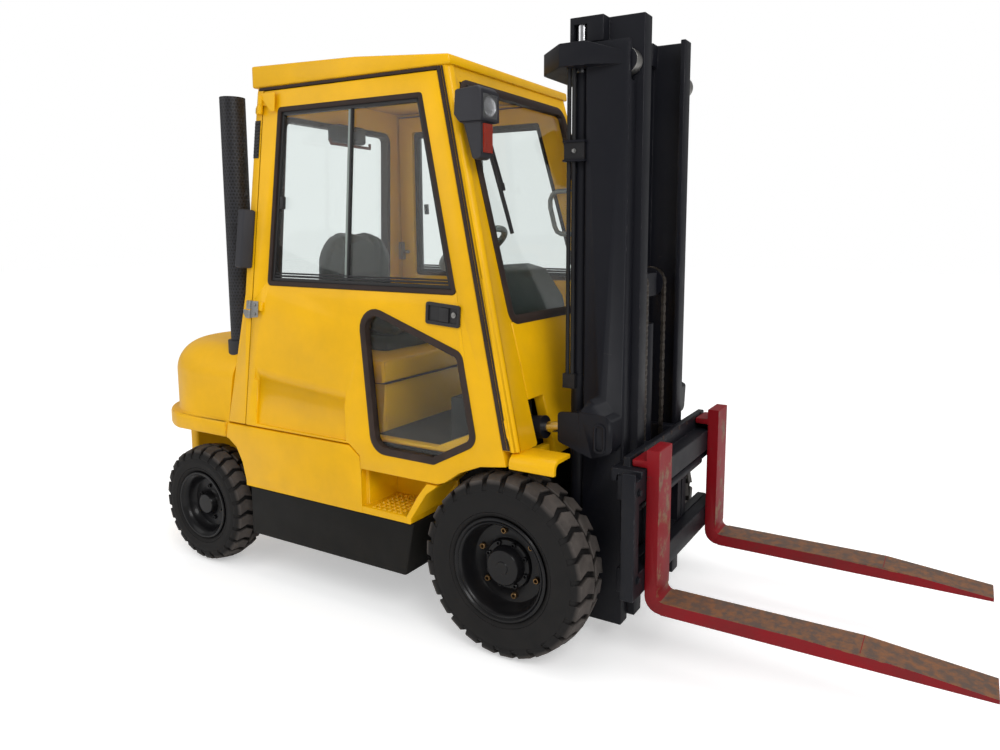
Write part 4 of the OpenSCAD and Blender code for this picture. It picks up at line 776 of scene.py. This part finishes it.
# Radius, half width, rim radius and lugs of each tyre, the rim's outline, and its rings of nuts
WHEELS = {
    "front": ((0.335, 0.095, 0.18, 26), FRONT_RIM, [("nuts", "brass", 6, 0.119, -0.013, 0.0115),
                                                    ("bolts", "rim", 8, 0.081, -0.029, 0.0095)]),
    "rear": ((0.268, 0.08, 0.145, 24), REAR_RIM, [("nuts", "rim", 6, 0.074, -0.0165, 0.009)]),
}


@shape
def add_nuts(part, count, circle, face, size):
    """A ring of hollow nuts that stand on a wheel disc."""
    outline = ((0.5, 0.0), (1.0, 0.0), (1.0, 0.75), (0.85, 0.95), (0.58, 0.95), (0.5, 0.5))
    add_lathe(part, [(size * out, face - size * up) for out, up in outline], (circle, 0, 0), 12)
    rotate(part, 0.35, "Y")
    repeat_round(part, count)


def make_wheel(name, side, tyre, profile, rings):
    body, rim = "wheel_" + name, "rim_" + name
    centre = Vector(JOINTS["spin_" + name]["pos_m"])
    place = Matrix.Translation(centre) @ mirror(side)
    make_tyre("tyre_" + name, body, centre, place, *tyre)
    build(rim + "_disc", "rim", body, rim, (add_lathe, profile, (0, 0, 0), 96), replaces=[rim], smooth=38,
          matrix=place)
    for label, material, *sizes in rings:
        build(f"{rim}_{label}", material, body, rim, (add_nuts, *sizes), matrix=place)


for label, side in SIDES.items():
    for end, sizes in WHEELS.items():
        make_wheel(f"{end}_{label}", side, *sizes)


# Doors and their surrounds, drawn in an upright plane with y counted inwards from the face of the right side
WINDOW = [(-1.1822, 1.283), (-0.2184, 1.283), (-0.4027, 2.008), (-1.1400, 2.008)]
QUAD = [(-0.687, 1.251, 0.075), (-0.186, 1.080, 0.05), (-0.107, 0.759, 0.05), (-0.293, 0.662, 0.024),
        (-0.591, 0.664, 0.08)]
HINGE_Z, UPPER_HINGE_Z = 1.178, 2.02
PIN_Y, PIN_R = -0.014, 0.0118
LEAF = (-0.0165, -0.0135, 0.001)


def hinge_x(z):
    return rear_edge(z) - 0.003


def strip(x_of, z0, z1, offset, width):
    """Outline of an upright strip that follows a slanted edge of the door."""
    return [(x_of(z0) + offset, z0), (x_of(z0) + offset + width, z0),
            (x_of(z1) + offset + width, z1), (x_of(z1) + offset, z1)]


def sill(low, high, y):
    """A bar across the foot of the door window, between two heights above its seal."""
    z0 = WINDOW[0][1] + 0.019 + low
    z1 = z0 + high - low
    outline = [(rear_edge(z0) + 0.103, z0), (front_edge(z0) - 0.103, z0),
               (front_edge(z1) - 0.103, z1), (rear_edge(z1) + 0.105, z1)]
    return add_plate, outline, y, 0.022, 0.0015


def make_door(label, side):
    body = "door_" + label

    def fit(name, material, like, *shapes, **settings):
        build(f"{body}_{name}", material, body, like, *shapes, matrix=lean_matrix(side), **settings)

    window = rounded([(x, z, 0.018) for x, z in WINDOW])
    fit("seals", "seal", "tyre_front_right", (add_seal, window, -0.001, 0.026, 0.019, 0.004),
        (add_seal, rounded(QUAD), -0.002, 0.026, 0.027, 0.005), smooth=50)
    fit("window_frame", "black", "dash_console", (add_seal, inside(window, 0.0185), 0.006, 0.022, 0.013),
        sill(0.0, 0.014, 0.004), sill(0.017, 0.026, 0.008), sill(0.029, 0.036, 0.010),
        (add_plate, strip(rear_edge, 1.32, 1.99, 0.105, 0.012), 0.008, 0.022, 0.002),
        (add_plate, oblong(-0.7520, -0.7420, 1.318, 1.992), 0.008, 0.022, 0.002),
        (add_box, (-1.118, -0.004, 1.596), (-1.098, 0.014, 1.648), 0.004))
    fit("pane_edge", "pane_edge", "dash_console",
        (add_plate, oblong(-0.7640, -0.7530, 1.318, 1.992), 0.0105, 0.0135))
    corners = ((-0.348, 1.176), (-0.197, 1.166), (-0.197, 1.245), (-0.348, 1.256))
    pocket = rounded([(x, z, 0.01) for x, z in corners], 4)
    grip = [(-0.287, 1.186), (-0.245, 1.183), (-0.245, 1.235), (-0.287, 1.238)]
    fit("handle", "black", "dash_console", (add_plate, pocket, -0.0015, 0.004),
        (add_seal, pocket, -0.007, -0.001, 0.012, 0.001), (add_plate, grip, -0.009, 0, 0.003))
    lock_x, lock_z = -0.2245, 1.211
    fit("lock", "steel", "dash_console",
        (add_rod, (lock_x, 0, lock_z), (lock_x, -0.007, lock_z), 0.0105, 24, 0.0015),
        (add_rod, (lock_x, 0, lock_z), (lock_x, -0.0078, lock_z), 0.004, 12))
    x, z = hinge_x(HINGE_Z), HINGE_Z
    leaf = [(x + 0.008, z - 0.036), (x + 0.056, z - 0.03), (x + 0.056, z + 0.036), (x + 0.008, z + 0.036)]
    bolts = [(add_bolt, (x + 0.038, LEAF[0], z + dz), (0, -1, 0), 0.006, 0.004) for dz in (-0.018, 0.02)]
    fit("hinge_leaf", "zinc", body, (add_plate, leaf, *LEAF),
        (add_rod, (x, PIN_Y, z + 0.0015), (x + 0.002, PIN_Y, z + 0.037), PIN_R, 20, 0.001), *bolts)
    x, z = hinge_x(UPPER_HINGE_Z), UPPER_HINGE_Z
    plate = [(x - 0.01, z + 0.046), (x + 0.085, z + 0.046), (x + 0.085, z - 0.03), (x + 0.062, z - 0.03)]
    fit("hinge_plate", "yellow", body, (add_plate, plate, -0.0165, -0.0125, 0.0012))


def make_door_surround(label, side):
    def fit(name, material, like, *shapes):
        build(f"{name}_{label}", material, "chassis", like, *shapes, matrix=lean_matrix(side))

    head = [(rear_edge(2.08) - 0.03, 2.0815), (front_edge(2.08) + 0.002, 2.0815),
            (front_edge(2.093) + 0.002, 2.0935), (rear_edge(2.09) - 0.03, 2.0935)]
    fit("door_seal", "seal", "tyre_front_right",
        (add_plate, strip(front_edge, 0.758, 2.093, 0.0012, 0.0165), -0.004, 0.02, 0.003),
        (add_plate, strip(front_edge, 0.758, 2.093, 0.0195, 0.0085), -0.0025, 0.008, 0.002),
        (add_plate, head, -0.004, 0.02, 0.003))
    fit("door_seam", "seal", "tyre_front_right",
        (add_plate, strip(rear_edge, 0.684, 2.078, -0.0056, 0.0042), 0.004, 0.03))
    x, z = hinge_x(HINGE_Z), HINGE_Z
    leaf = [(x - 0.034, z - 0.016), (x - 0.02, z - 0.036), (x - 0.004, z - 0.036), (x - 0.004, z - 0.002),
            (x - 0.034, z - 0.002)]
    fit("hinge_leaf", "zinc", "cab_frame", (add_plate, leaf, *LEAF),
        (add_rod, (x - 0.002, PIN_Y, z - 0.037), (x, PIN_Y, z - 0.002), PIN_R, 20, 0.001))
    slats = [(add_plate, strip(rear_edge, z, z + 0.006, -0.038, 0.022), -0.0075, -0.001, 0.0015)
             for z in (1.818 + i * 0.0142 for i in range(10))]
    fit("vent", "black", "dash_console",
        (add_plate, strip(rear_edge, 1.808, 1.961, -0.042, 0.030), -0.0035, 0.001, 0.0015), *slats)


for label, side in SIDES.items():
    make_door(label, side)
    make_door_surround(label, side)

# Cab front: windscreen seal, wiper and lamps
SCREEN_LOW, SCREEN_TOP, SCREEN_HALF, SCREEN_LIP = 1.185, 2.038, 0.39, 0.012
SCREEN_RUN = (SCREEN_TOP - SCREEN_LOW) * math.hypot(1, FRONT_RUN)
LAMP_Z = 1.87


def screen_matrix():
    """Lays a piece drawn in the XZ plane on the sloping cab front, with +Z up the slope and -Y outwards."""
    slope = math.atan(FRONT_RUN)
    up = Vector((-math.sin(slope), 0, math.cos(slope)))
    place = Matrix((Y_AXIS, up.cross(Y_AXIS), up)).transposed().to_4x4()
    return Matrix.Translation(at(cab_front(SCREEN_LOW), 0, SCREEN_LOW)) @ place


def make_windscreen():
    half, low, top = SCREEN_HALF + SCREEN_LIP, -SCREEN_LIP, SCREEN_RUN + SCREEN_LIP
    corners = [(-half, low, 0.05), (half, low, 0.05), (half, top, 0.06), (-half, top, 0.06)]
    build("windscreen_seal", "seal", "chassis", "mast_hoses",
          (add_seal, rounded(corners), -0.001, 0.02, 0.034, 0.005), smooth=50, matrix=screen_matrix())

    def pivot(x, y, z):
        return Vector((x - 0.335, y - 0.016, z + SCREEN_RUN - 0.03))

    def joint(x, y, z):
        return Vector((x - 0.292, y - 0.02, z + SCREEN_RUN - 0.40))

    build("screen_wiper", "black", "chassis", "dash_console",
          (add_rod, pivot(0, 0.022, 0), pivot(0, 0, 0), 0.014, 20, 0.003),
          (add_box, pivot(-0.03, 0.004, -0.012), pivot(0.03, 0.016, 0.02), 0.004),
          (add_tube, [pivot(-0.012, 0, 0), joint(-0.005, 0, 0.02)], 0.0035, 8),
          (add_tube, [pivot(0.014, 0, -0.005), joint(0.005, 0, 0.02)], 0.0045, 8),
          (add_box, joint(-0.01, -0.005, 0.0), joint(0.012, 0.006, 0.03), 0.003),
          (add_tube, [joint(-0.03, 0.002, 0.20), joint(-0.012, 0.003, 0.05), joint(0.004, 0.004, -0.09),
                      joint(0.012, 0.006, -0.16)], 0.0055, 8),
          (add_tube, [joint(-0.03, 0.010, 0.20), joint(0.012, 0.012, -0.16)], 0.004, 6),
          matrix=screen_matrix())


def to_lamp(bm):
    """Moves what is drawn about the right lamp's own centre to its place on the cab."""
    shift(bm, at(cab_front(LAMP_Z), 0.018 - cab_half(LAMP_Z), LAMP_Z))


@shape
def add_lamp_rim(part, y0, y1, z0, z1, x):
    add_seal(part, rounded([(y, z, 0.012) for y, z in oblong(y0, y1, z0, z1)], 4), 0.0, 0.006, 0.008, 0.001)
    rotate(part, math.pi / 2, "Z")
    shift(part, (x, 0, 0))
    to_lamp(part)


def add_lamp_bowl(bm):
    bmesh.ops.create_uvsphere(bm, u_segments=24, v_segments=12, radius=0.03)
    bmesh.ops.bisect_plane(bm, geom=whole(bm), plane_co=(0, 0, 0), plane_no=(1, 0, 0), clear_outer=True)
    bmesh.ops.scale(bm, vec=(0.2, 1.25, 1.15), verts=bm.verts[:])
    shift(bm, (0.1185, -0.005, 0.06))
    to_lamp(bm)
    bmesh.ops.solidify(bm, geom=bm.faces[:], thickness=0.0006)


make_windscreen()
for label, side in SIDES.items():
    build("lamp_rim_" + label, "lamp_body", "chassis", "lamp_housings",
          (add_lamp_rim, -0.058, 0.048, 0.012, 0.110, 0.1205),
          (add_lamp_rim, -0.048, 0.018, -0.102, 0.008, 0.1125), matrix=mirror(side))
    build("lamp_bowl_" + label, "chrome", "chassis", "lamp_lenses", (add_lamp_bowl,), matrix=mirror(side))

# Inside the cab
REAR_SLOPE = 0.0546 / 0.854
REAR_FOOT = (-1.3156, 1.24)


def rear_wall(z):
    return REAR_FOOT[0] + (z - REAR_FOOT[1]) * REAR_SLOPE


def make_rear_window_trim():
    wall = bmesh.new()
    outline = rounded([(-0.37, 1.24, 0.05), (0.37, 1.24, 0.05), (0.34, 1.99, 0.05), (-0.34, 1.99, 0.05)])
    add_seal(wall, outline, -0.003, 0.04, 0.022, 0.003)
    for v in wall.verts:
        across, depth, z = v.co
        v.co = at(rear_wall(z) + depth, across, z)
    face_out(wall)
    piece("rear_window_seal", wall, "seal", "chassis", "mast_hoses", smooth=50)
    x = rear_wall(1.94) + 0.04
    build("rear_wiper_motor", "lamp_body", "chassis", "dash_console",
          (add_box, at(x, -0.09, 1.905), at(x + 0.075, 0.09, 1.985), 0.014),
          (add_rod, at(x + 0.03, 0, 1.95), at(x + 0.1, 0, 1.94), 0.024, 20, 0.004))
    build("rear_wiper_bar", "red_brown", "chassis", "dash_console",
          (add_tube, [at(x + 0.055, -0.13, 1.915), at(x + 0.06, -0.125, 1.895), at(x + 0.06, 0.125, 1.895),
                      at(x + 0.055, 0.13, 1.915)], 0.007, 10))


def add_knob(bm, foot, spin):
    """A turning knob on a steering wheel, on a stem along the wheel's axis."""
    add_rod(bm, foot + spin * 0.01, foot + spin * 0.03, 0.008, 16)
    bmesh.ops.create_uvsphere(bm, u_segments=20, v_segments=12, radius=0.022,
                              matrix=Matrix.Translation(foot + spin * 0.045))


def make_cab_fittings():
    far = 0.396
    rail = [(-0.190, 0.428, 1.690), (-0.215, 0.402, 1.690), (-0.250, far, 1.690), (-0.300, far, 1.688),
            (-0.326, far, 1.674), (-0.337, far, 1.648), (-0.336, far, 1.615), (-0.313, far, 1.530),
            (-0.300, far, 1.506), (-0.278, far, 1.496), (-0.235, far, 1.496), (-0.195, 0.402, 1.496),
            (-0.168, 0.428, 1.496)]
    build("grab_handle", "grey", "chassis", "dash_console",
          (add_tube, [at(*p) for p in rail], 0.011, 14), smooth=60)
    build("latch_plate", "zinc", "chassis", "cab_frame",
          (add_box, at(-1.262, 0.425, 1.36), at(-1.235, 0.462, 1.45), 0.004),
          (add_rod, at(-1.235, 0.44, 1.40), at(-1.205, 0.44, 1.40), 0.008, 16, 0.002))
    build("blank_plate", "black", "chassis", "dash_console",
          (add_box, at(-1.258, 0.36, 1.78), at(-1.248, 0.44, 1.87), 0.002))
    build("hood_seam", "seal", "chassis", "mast_hoses",
          (add_box, at(-0.664, -0.381, 0.894), at(-0.652, 0.381, 0.900), 0.001),
          (add_box, at(-1.26, -0.3915, 0.894), at(-0.655, -0.380, 0.900), 0.001),
          (add_box, at(-1.26, 0.380, 0.894), at(-0.655, 0.3915, 0.900), 0.001))
    wheel = JOINTS["steering_wheel_turn"]
    spin, centre = Vector(wheel["axis"]).normalized(), Vector(wheel["pos_m"])
    arm = spin.cross(Y_AXIS).normalized()
    foot = centre + (arm * 0.5 + Y_AXIS * 0.866).normalized() * 0.15
    build("wheel_knob", "black", "steering_wheel", "steering_wheel", (add_knob, foot, spin))
    build("wheel_cap", "black", "steering_wheel", "steering_wheel",
          (add_rod, centre + spin * 0.0135, centre + spin * 0.022, 0.034, 32, 0.004, 0.03))


make_rear_window_trim()
make_cab_fittings()


# Grips on the steps
def add_grips(bm):
    add_lathe(bm, [(0.0045, 0.0), (0.0105, 0.0), (0.0085, 0.0042), (0.0060, 0.0042)], (0, 0, 0), 12)
    rotate(bm, math.pi / 2, "X")
    for steps, move in ((5, (0.026, 0, 0)), (6, (0, 0.026, 0))):
        repeat_along(bm, move, steps)
    shift(bm, at(-0.60, -0.53, 0.4402))


for label, side in SIDES.items():
    build("step_grips_" + label, "yellow", "chassis", "side_panel_right", (add_grips,), matrix=mirror(side))


# Mast, chains, carriage and forks
WAVER = 0.0008


@shape
def add_bracket_slot(part, side):
    corners = [(0.266, 0.744, 0.016), (0.310, 0.744, 0.02), (0.310, 0.850, 0.02), (0.266, 0.850, 0.02)]
    add_seal(part, rounded(corners, 5), -0.3795, -0.370, 0.009, 0.0015)
    place = Matrix.Translation((FRONT_AXLE.x, 0, 0)) @ mirror(side)
    bmesh.ops.transform(part, matrix=place, verts=part.verts[:])
    face_out(part)


def make_mast_fittings():
    rollers, clamps, bolts, slots, beads = [], [], [], [], []
    for side in (-1, 1):
        y0, y1 = sorted((side * 0.2855, side * 0.2385))
        ring = [(0.030, y0), (0.0405, y0), (0.0424, y0 + 0.002), (0.0424, y1 - 0.002), (0.0405, y1),
                (0.030, y1)]
        rollers.append((add_lathe, ring, at(0.324, 0, 2.071), 40))
        y0, y1 = sorted((side * 0.316, side * 0.288))
        clamps += [(add_box, at(0.104, y0, z), at(0.190, y1, z + 0.008), 0.002) for z in (1.746, 1.811)]
        bolts.append((add_bolt, at(0.148, side * 0.310, 1.782), (0, side, 0), 0.006, 0.010))
        slots.append((add_bracket_slot, side))
        path = [at(0.2412 + WAVER * math.sin(i * 1.7), side * 0.2362 + WAVER * math.cos(i * 2.3),
                   2.15 + i * 0.005) for i in range(16)]
        beads.append((add_tube, path, 0.0042, 8))
    build("top_rollers", "steel", "mast_outer", "lift_rods", *rollers)
    build("hose_clamps", "mast", "mast_outer", "outer_mast", *clamps)
    build("mast_bolts", "zinc", "mast_outer", "lift_rods", *bolts)
    build("bracket_slots", "mast", "mast_outer", "outer_mast", *slots, smooth=50)
    build("head_welds", "mast", "mast_inner", "inner_mast", *beads, smooth=60)


LINK_ROWS = ((-0.0094, 0.0, 0.0094), (-0.0047, 0.0047))
LINK_HALF, LINK_CORNER, PLATE_HALF = 0.0055, 0.0054, 0.0021
SHEAVE_X, SHEAVE_Z, SHEAVE_REACH, SHEAVE_LINKS = 0.280, 1.312, 0.056, 10
CHAIN_FOOT, CHAIN_ANCHOR = 0.572, 1.006


def add_link(bm, rows, pitch):
    """One pitch of a leaf chain that starts at the origin and runs along Z."""
    corners = oblong(-LINK_HALF, LINK_HALF, -LINK_HALF, pitch + LINK_HALF)
    outline = rounded([(x, z, LINK_CORNER) for x, z in corners], 2)
    for y in rows:
        add_plate(bm, outline, y - PLATE_HALF, y + PLATE_HALF)
    add_rod(bm, (0, -0.0116, 0), (0, 0.0116, 0), 0.0032, 8)


@shape
def add_strand(part, x, y, low, count):
    """A straight run of leaf chain up to the height of the sheaves."""
    pitch = (SHEAVE_Z - low) / (2 * count)
    for i, rows in enumerate(LINK_ROWS):
        link = bmesh.new()
        add_link(link, rows, pitch)
        shift(link, (0, 0, i * pitch))
        join(part, link)
    repeat_along(part, (0, 0, 2 * pitch), count - 1)
    shift(part, at(x, y, low))


def add_wrap(bm, y):
    """The links of a chain that lie on its sheave."""
    for i in range(SHEAVE_LINKS):
        link = bmesh.new()
        add_link(link, LINK_ROWS[i % 2], 0.0176)
        shift(link, (SHEAVE_REACH, y, -0.0088))
        rotate(link, -math.pi * (i + 0.5) / SHEAVE_LINKS, "Y")
        shift(link, at(SHEAVE_X, 0, SHEAVE_Z))
        join(bm, link)


def make_chains():
    """Chains from the carriage over the sheaves to the inner mast; the links on the sheaves ride the crosshead,
    and the straight runs ride no body.
    """
    lanes = (-0.09, 0.09)
    front, rear = SHEAVE_X + SHEAVE_REACH, SHEAVE_X - SHEAVE_REACH
    build("chain_over_sheaves", "chain", "crosshead", "lift_chains", *((add_wrap, y) for y in lanes),
          replaces=["lift_chains"])
    made = build("chain_front", "chain", None, "lift_chains",
                 *((add_strand, front, y, CHAIN_FOOT, 20) for y in lanes))
    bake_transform(made)
    made = build("chain_rear", "chain", None, "lift_chains",
                 *((add_strand, rear, y, CHAIN_ANCHOR, 8) for y in lanes))
    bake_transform(made)


def make_carriage_fittings():
    # Thin dark strips on the side-shift bar are painted shade in place of its locking notches, which are not cut.
    notch_shadows = [(add_box, at(0.4135, y - 0.007, 0.742), at(0.4148, y + 0.007, 0.7575))
               for y in ((i - 4) * 0.088 for i in range(9))]
    build("bar_notch_shadows", "seal", "side_shift", "mast_hoses", *notch_shadows)
    bolts = [(add_bolt, at(0.4708, y, z), (1, 0, 0), 0.011, 0.008)
             for y in (-0.452, 0.452) for z in (0.36, 0.66)]
    build("side_shift_bolts", "mast", "side_shift", "side_shift", *bolts)


def wear_fork(label):
    """Rubs the paint off the top of a blade and part of the front of its shank."""
    blade_top, smallest = 0.32, 2e-4
    mesh = bpy.data.objects[f"fork_{label}_shell"].data
    worn = mesh.attributes["worn"].data
    for face in mesh.polygons:
        if face.area < smallest:
            continue
        on_blade = face.normal.z > 0.9 and face.center.z < blade_top
        rubbed = 1.5 if on_blade else 0.96 if face.normal.x > 0.75 else 0.0
        for index in face.vertices:
            worn[index].value = max(worn[index].value, rubbed)


make_mast_fittings()
make_chains()
make_carriage_fittings()
for label in SIDES:
    wear_fork(label)

# Seat: two pads that are swollen as stuffed cloth and then sewn
VOXEL, PRESSURE, SWELL_FRAMES, SWELL_CAP = 0.006, 4.0, 20, 0.022
SEAM_DEPTH = SEAM_WIDTH = 0.007
PAD_GAP = 0.001


def remeshed(mesh):
    pad = show("pad", mesh)
    change = pad.modifiers.new("remesh", "REMESH")
    change.mode = "VOXEL"
    change.voxel_size = VOXEL
    even = bpy.data.meshes.new_from_object(pad.evaluated_get(bpy.context.evaluated_depsgraph_get()))
    pad.modifiers.clear()
    pad.data = even
    return pad


def swell(pad):
    """Blows a pad up as cloth under pressure and limits how far each point moves."""
    scene = bpy.context.scene
    cloth = pad.modifiers.new("cloth", "CLOTH")
    cloth.settings.use_pressure = True
    cloth.settings.uniform_pressure_force = PRESSURE
    cloth.settings.effector_weights.gravity = 0.0
    cloth.point_cache.frame_end = SWELL_FRAMES
    for step in range(1, SWELL_FRAMES + 1):
        scene.frame_set(step)
    result = pad.evaluated_get(bpy.context.evaluated_depsgraph_get()).to_mesh()
    moves = [b.co - a.co for a, b in zip(pad.data.vertices, result.vertices)]
    pad.modifiers.clear()
    scene.frame_set(1)
    for vert, move in zip(pad.data.vertices, moves):
        vert.co += move * min(1.0, SWELL_CAP / max(move.length, 1e-9))


def sew(mesh, lines):
    """Presses a groove into a pad along each seam, where a line gives the distance of a point from it."""
    normals = [vert.normal.copy() for vert in mesh.vertices]
    for vert, normal in zip(mesh.vertices, normals):
        near = min(abs(line(vert.co)) for line in lines)
        vert.co -= normal * SEAM_DEPTH * math.exp(-(near / SEAM_WIDTH) ** 2)


def extent(mesh):
    return [[pick(v.co[i] for v in mesh.vertices) for i in range(3)] for pick in (min, max)]


def make_pad(node, bm, bend, lines):
    low, high = extent(NODES[node].data)
    mesh = bpy.data.meshes.new(node)
    bm.to_mesh(mesh)
    bm.free()
    pad = remeshed(mesh)
    for vert in pad.data.vertices:
        vert.co = bend(vert.co)
    swell(pad)
    got_low, got_high = extent(pad.data)
    scale = [(high[i] - low[i] - 2 * PAD_GAP) / (got_high[i] - got_low[i]) for i in range(3)]
    for vert in pad.data.vertices:
        vert.co = [low[i] + PAD_GAP + (vert.co[i] - got_low[i]) * scale[i] for i in range(3)]
    pad.data.update()
    sew(pad.data, lines)
    finish = pad.modifiers.new("smooth", "SUBSURF")
    finish.levels = finish.render_levels = 1
    pad.data.materials.clear()
    pad.data.materials.append(M["vinyl"])
    pad.data.shade_smooth()
    pad.name = node + "_pad"
    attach(pad, BODY_OF[node])
    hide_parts(node)


def cushion_shape(point):
    """Raises the sides of the seat's top."""
    across = abs(point.y) / 0.22
    lift = 0.026 * max(0.0, across - 0.45) / 0.55 if point.z > 1.11 else 0.0
    return Vector((point.x, point.y, point.z + lift))


def back_shape(point):
    """Brings the sides of the seat back forwards, narrows its shoulders and tips it back."""
    across = abs(point.y) / 0.21
    up = (point.z - 1.08) / 0.40
    wing = 0.035 * max(0.0, across - 0.4) / 0.6 if point.x > at(-1.17, 0, 0).x else 0.0
    narrow = 1.0 - 0.16 * max(0.0, up - 0.45) / 0.55
    return Vector((point.x + wing - 0.02 * (1 - up), point.y * narrow, point.z))


def make_seat():
    seat_seam, back_seam = 0.125, 0.115
    seat = bmesh.new()
    add_box(seat, at(-1.085, -0.220, 1.074), at(-0.756, 0.220, 1.140), 0.024, 4)
    pleats = [(lambda p, x=x: p.x - FRONT_AXLE.x - x) for x in (-0.98, -0.87)]
    make_pad("seat_cushion", seat, cushion_shape, [lambda p: abs(p.y) - seat_seam] + pleats)
    back = bmesh.new()
    corners = [(-0.21, 1.075, 0.05), (0.21, 1.075, 0.05), (0.21, 1.485, 0.13), (-0.21, 1.485, 0.13)]
    add_plate(back, rounded(corners, 8), -1.195, -1.125, 0.02, 3)
    for v in back.verts:
        y, x, z = v.co
        v.co = at(x, y, z)
    face_out(back)
    pleats = [(lambda p, z=z: p.z - z if abs(p.y) < back_seam else 1.0) for z in (1.20, 1.30)]
    make_pad("seat_back", back, back_shape, [lambda p: abs(p.y) - back_seam] + pleats)
    build("arm_rest", "vinyl", "chassis", "seat_cushion",
          (add_box, at(-1.10, -0.318, 1.196), at(-0.90, -0.258, 1.256), 0.018, 3))


make_seat()

# Light, floor and backdrop
WORLD_LIGHT, WORLD_SEEN, WORLD_MIRRORED = 0.72, 1.0, 0.42
FLOOR_HALF, FLOOR_GLOW = 30, 0.40


def make_world():
    world = bpy.data.worlds.new("studio")
    bpy.context.scene.world = world
    world.use_nodes = True
    shade = Shade(world.node_tree)
    path, seen = shade.light_path()
    mirrored = shade.calc("SUBTRACT", path["Is Glossy Ray"], path["Is Transmission Ray"])
    dimmed = shade.remap(mirrored, 0, 1, 1.0, WORLD_MIRRORED)
    strength = shade.calc("MULTIPLY", shade.remap(seen, 0, 1, WORLD_LIGHT, WORLD_SEEN), dimmed)
    shade.feed(shade.tree.nodes["Background"], {"Color": (1, 1, 1, 1), "Strength": strength})


def make_floor():
    bm = bmesh.new()
    bmesh.ops.create_grid(bm, x_segments=1, y_segments=1, size=FLOOR_HALF)
    mesh = bpy.data.meshes.new("floor")
    bm.to_mesh(mesh)
    bm.free()
    material, shade = new_material("pale_floor")
    shade.surface({"Base Color": (0.86, 0.86, 0.86, 1), "Roughness": 0.9, "Specular IOR Level": 0.1})
    _, seen = shade.light_path()
    glow = shade.add("ShaderNodeEmission", {"Strength": shade.remap(seen, 0, 1, 0.0, FLOOR_GLOW)})
    plain = shade.tree.nodes["Principled BSDF"].outputs["BSDF"]
    both = shade.add("ShaderNodeAddShader", {0: plain, 1: glow.outputs["Emission"]})
    shade.feed(shade.tree.nodes["Material Output"], {"Surface": both.outputs["Shader"]})
    mesh.materials.append(material)
    floor = show("floor", mesh)
    floor.location.z = CAD_BOX[0].z


def add_lamp(name, place, target, power, size):
    data = bpy.data.lights.new(name, "AREA")
    data.energy = power
    data.shape = "DISK"
    data.size = size
    place, target = Vector(place), Vector(target)
    turn = (target - place).to_track_quat("-Z", "Y").to_matrix().to_4x4()
    show(name, data).matrix_world = Matrix.Translation(place) @ turn


make_world()
make_floor()
add_lamp("key", (4.4, -3.8, 5.0), (0, 0, 0.9), 160, 3.0)
add_lamp("fill", (-4.0, -4.5, 3.5), (0, 0, 1.0), 42, 4.0)
add_lamp("top", (0.0, 0.5, 6.5), (0, 0, 1.0), 80, 4.0)
make_camera()
bpy.context.scene.view_settings.view_transform = "Standard"
